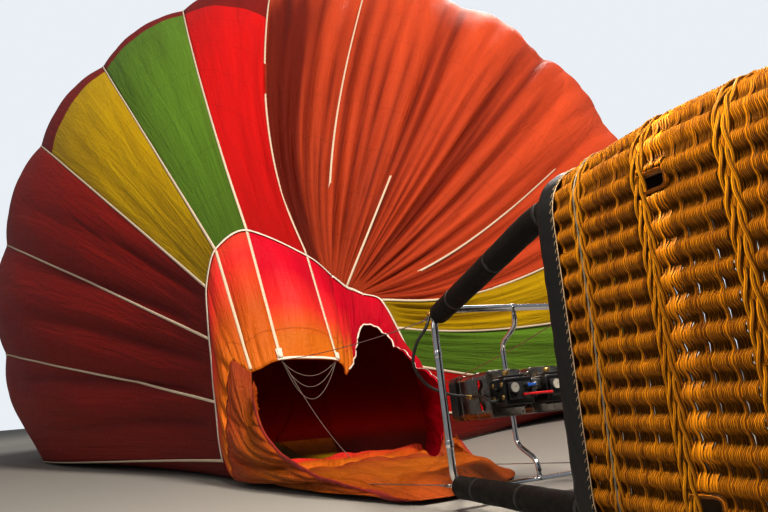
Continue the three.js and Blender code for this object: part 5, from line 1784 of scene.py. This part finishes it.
# %% Coils, valve blocks and controls
COIL = {"radius": 0.088, "foot": 0.062, "rise": 0.0172 * 0.98, "turns": 5, "steps": 28, "pipe": 0.0078}
JETS = {"count": 12, "radius": 0.055, "pipe": 0.007, "height": 0.030}
BACK = -0.1363       # y of the valve block's face towards the basket
GAUGE, AXLE = (-0.048, 0.018), (0.038, 0.026)     # x and z on that face
UNION_Y = -0.071


def jet_ring(turn, side):
    angle, around = 2 * math.pi * turn, 2 * math.pi * side
    radius = JETS["radius"] + JETS["pipe"] * np.cos(around)
    y = JETS["height"] + JETS["pipe"] * np.sin(around)
    return columns(radius * np.cos(angle), y, radius * np.sin(angle)), columns(turn, side)


def make_coil(where, spot):
    radius, height = COIL["radius"], JETS["height"]
    helix = [(0.085, 0.000, 0.0), (0.087, 0.035, 0.0)]
    for n in range(COIL["turns"] * COIL["steps"] + 1):
        turn = n / COIL["steps"]
        angle = 2 * math.pi * turn
        helix.append((radius * math.cos(angle), COIL["foot"] + COIL["rise"] * turn, radius * math.sin(angle)))
    feed = [(-0.085, 0.0, 0.0), (-0.085, 0.060, 0.0), (-0.080, 0.100, 0.004)]
    coil = [bent_tube("coil_turns", helix, COIL["pipe"], 16), bent_tube("coil_feed", feed, COIL["pipe"], 16),
            ring_tube("jet_ring", 48, 12, jet_ring)]
    for n in range(JETS["count"]):
        angle = 2 * math.pi * n / JETS["count"]
        x, z = JETS["radius"] * math.cos(angle), JETS["radius"] * math.sin(angle)
        coil.append(drum("jet", 0.0035, (x, height, z), (x, 0.046, z), 8, 0.0006))
    x = JETS["radius"]
    coil.append(drum("pilot_cup", 0.016, (0.0, 0.004, 0.0), (0.0, 0.052, 0.0), 24, 0.002))
    coil.append(drum("jet_stem", 0.009, (x, 0.002, 0.0), (x, height, 0.0), 12, 0.001))
    assembled(f"coil_{where}", coil, spot, "heated", "burner", [f"burner_coil_{where}"])


def make_block(where, sx, spot):
    """The back plate and the block of valves, with the unions and ports at its outer side."""
    plate = [block("back_plate", (0.224, 0.006, 0.252), (0, -0.0033, 0), 0.0024, 2)]
    plate += [drum("plate_screw", 0.0052, (x, -0.0063, z), (x, -0.0100, z), 6, 0.0008)
              for x in (-0.098, 0.098) for z in (-0.112, 0.112)]
    assembled(f"back_plate_{where}", plate, spot, "can", "burner")
    metal = [block("valve_body", (0.196, 0.128, 0.150), (0, UNION_Y, 0), 0.014, 4),
             block("body_step", (0.120, 0.090, 0.020), (0, -0.070, 0.080), 0.005, 3),
             block("body_step", (0.090, 0.080, 0.016), (0, -0.070, -0.080), 0.005, 3)]
    for z in (-0.045, 0.015):
        near, nut, end = ((sx * x, UNION_Y, z) for x in (0.090, 0.106, 0.120))
        metal.append(drum("union_nut", 0.0150, near, nut, 6, 0.0015))
        metal.append(drum("union_pipe", 0.0105, nut, end, 20, 0.001))
    assembled(f"block_{where}", metal, spot, "dark_alloy", "burner", [f"valve_block_{where}"])
    ports = [drum("port", 0.0135, (sx * 0.0975, y, z), (sx * 0.1010, y, z), 24, 0.0015)
             for z in (-0.030, 0.040) for y in (-0.028, -0.112)]
    ports.append(drum("strainer", 0.020, (-0.030, -0.070, 0.088), (-0.030, -0.070, 0.116), 28, 0.003))
    assembled(f"ports_{where}", ports, spot, "brass", "burner")


def towards_basket(name, radius, x, z, start, end, sides=24, bevel=0.002):
    """A round part on the control face, from one depth to another."""
    return drum(name, radius, (x, BACK - start, z), (x, BACK - end, z), sides, bevel)


def make_controls(where, spot):
    """The gauge, the valves with their guard, the blue lever and the red handle."""
    gauge_x, gauge_z = GAUGE
    dark = [block("control_pad", (0.150, 0.008, 0.096), (0, BACK - 0.004, 0), 0.003),
            towards_basket("gauge_case", 0.031, *GAUGE, 0.006, 0.030, 40, 0.0025),
            towards_basket("valve_cap", 0.014, *AXLE, 0.006, 0.040),
            towards_basket("handle_post", 0.012, 0.020, -0.024, 0.006, 0.044),
            block("valve_guard", (0.030, 0.026, 0.058), (0.078, BACK - 0.016, -0.012), 0.004)]
    assembled(f"controls_{where}", dark, spot, "black_metal", "burner", [f"burner_controls_{where}"])
    face = towards_basket("gauge_face", 0.0265, *GAUGE, 0.0295, 0.0310, 40, 0)
    assembled(f"gauge_face_{where}", [face], spot, "dial", "burner")

    def on_dial(piece, depth, degrees):
        turn = Matrix.Rotation(math.radians(degrees), 4, "Y")
        return placed(piece, Matrix.Translation((gauge_x, BACK - depth, gauge_z)) @ turn)
    hands = [on_dial(block("gauge_hand", (0.0016, 0.0010, 0.020), (0, 0, 0.007), 0.0003, 1), 0.0316, 52)]
    for n in range(11):
        mark = block("gauge_mark", (0.0011, 0.0006, 0.0042), (0, 0, 0.0225), 0.0002, 1)
        hands.append(on_dial(mark, 0.0312, -130 + 26 * n))
    assembled(f"gauge_hand_{where}", hands, spot, "black_metal", "burner")
    lever = [block("lever_arm", (0.064, 0.010, 0.014), (0.058, BACK - 0.034, 0.026), 0.004),
             towards_basket("lever_hub", 0.0110, *AXLE, 0.040, 0.0445, 24, 0.001)]
    assembled(f"lever_{where}", lever, spot, "blue_paint", "burner")
    rod = [(x, BACK - 0.038, -0.024) for x in (-0.004, 0.182, 0.178, 0.190)]
    grip = [bent_tube("handle_rod", rod[:2], 0.0080, 20), drum("handle_end", 0.0095, *rod[2:], 20, 0.002)]
    assembled(f"handle_{where}", grip, spot, "red_paint", "burner")


for where, sx in (("left", -1), ("right", 1)):
    spot = FRAME @ Matrix.Translation((sx * CAN["x"], 0, 0))
    make_can(where, spot)
    make_coil(where, spot)
    make_block(where, sx, spot)
    make_controls(where, spot)

bridge = [block("bridge_bar", (0.0894, 0.044, 0.060), (0, UNION_Y, 0.030), 0.005),
          drum("bridge_bolt", 0.009, (0, UNION_Y, 0.060), (0, UNION_Y, 0.066), 6, 0.001),
          drum("cross_valve", 0.012, (0, -0.093, 0.030), (0, -0.108, 0.030), 20, 0.001)]
assembled("bridge", bridge, FRAME, "alloy", "burner", ["burner_bridge"])
print("two burners with their controls")

# %% [markdown]
# ## Hoses and flying wires
# A fuel hose comes out beside each upper pole cover and loops round to its burner. The nut at its end goes
# with the yoke. Flying wires run from the links to the lip of the mouth.

# %% Hoses and wires
HOSE_KNOTS = [(0.600, 0.010, 0.390), (0.640, 0.070, 0.310), (0.630, 0.150, 0.200), (0.530, 0.200, 0.090),
              (0.410, 0.185, 0.030), (0.318, 0.172, 0.010)]
TAIL_KNOTS = [(0.2700, 0.1555, 0.000), (0.2715, 0.100, -0.002), (0.2760, 0.030, -0.010),
              (0.2920, -0.030, -0.028), (0.2910, -0.064, -0.042), (0.2640, UNION_Y, -0.045)]
HOSE_HALF, TAIL_HALF = 0.0086, 0.0076


def hose_route(sx):
    """From the top of an upper pole cover to the tilt axis."""
    last = pole_route(sx, 1)
    run = (last[-1] - last[-2]).normalized()
    side = Vector((sx, 0, 0))
    side = (side - run * side.dot(run)).normalized() * (POLE["radius"] - 0.009)
    start = last[-1] + side + run * 0.0006
    to_basket = BASKET.inverted() @ FRAME
    stops = [start, start + run * 0.018]
    stops += [to_basket @ Vector((sx * x, y, z)) for x, y, z in HOSE_KNOTS]
    stops.append(to_basket @ Vector((sx * 0.2625, PIN_Y, 0.000)))
    return [BASKET @ p for p in soft_route(stops, 8)]


def hose_nut(name, at, run, body):
    parts = [drum("hose_ferrule", 0.0112, at - run * 0.001, at + run * 0.034, 20, 0.001),
             drum("hose_collar", 0.0135, at + run * 0.030, at + run * 0.040, 6, 0.001)]
    return finish_piece(join(name, parts), "brass", body=body)


for where, sx in (("left", -1), ("right", 1)):
    route = hose_route(sx)
    hose = finish_piece(bent_tube(f"hose_{where}", route, HOSE_HALF, 16), "rubber", body=None,
                        stands_for=[f"fuel_hose_{where}"])
    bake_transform(hose)
    start_nut = hose_nut(f"hose_start_{where}", route[0], (route[2] - route[0]).normalized(), "balloon")
    end_nut = hose_nut(f"hose_end_{where}", route[-1], (route[-3] - route[-1]).normalized(), "yoke")

    tail = [FRAME @ p for p in soft_route([(sx * x, y, z) for x, y, z in TAIL_KNOTS], 10)]
    short = finish_piece(bent_tube(f"burner_hose_{where}", tail, TAIL_HALF, 14), "rubber", body="burner")
    near, far = (FRAME @ Vector((sx * x, PIN_Y, 0)) for x in (0.2595, 0.2790))
    elbow = drum("turning_elbow", 0.0150, near, far, 20, 0.002)
    finish_piece(join(f"elbow_{where}", [elbow]), "brass", body="burner")

LIP_SEAM = {"left_top": 7, "right_top": 23, "left_low": 13, "right_low": 21}
WIRE = {"sag": 0.060, "short_of_lip": 0.008, "lift_low": 0.014, "half": 0.0030, "steps": 40,
        "sleeve": 0.0052, "sleeve_from": 0.020, "sleeve_to": 0.055}
for where, (sx, sz) in CORNERS.items():
    top = SHACKLE["seat"] + 2 * SHACKLE["half_y"] * (1 + SHACKLE["lift"]) + 0.0009
    start = FRAME @ Vector((sx * (HALF_W - CORNER_CUT), top, sz * (HALF_H - CORNER_CUT)))
    lip = Vector(envelope_point(np.array([float(LIP_SEAM[where])]), np.array([-1.0]))[0])
    end = lip.lerp(start, WIRE["short_of_lip"]) + Vector((0, 0, WIRE["lift_low"] if sz < 0 else 0))
    low = start.lerp(end, 0.5) - Vector((0, 0, WIRE["sag"] if sz > 0 else 0))
    parts = [n / WIRE["steps"] for n in range(WIRE["steps"] + 1)]
    line = [start.lerp(low, part).lerp(low.lerp(end, part), part) for part in parts]
    wires = [bent_tube("wire_line", line, WIRE["half"], 10)]
    for at, run in ((start, (line[3] - start).normalized()), (end, (line[-4] - end).normalized())):
        first, last = at + run * WIRE["sleeve_from"], at + run * WIRE["sleeve_to"]
        wires.append(drum("wire_sleeve", WIRE["sleeve"], first, last, 14, 0.001))
    finish_piece(join(f"wire_{where}", wires), "wire", stands_for=[f"flying_wire_{where}"])
print("two hoses and four flying wires")

# %% [markdown]
# ## The end
# The dressed model keeps the size of the imported one. The last step brings the scene up to date.

# %% Bring the scene up to date
bpy.context.view_layer.update()
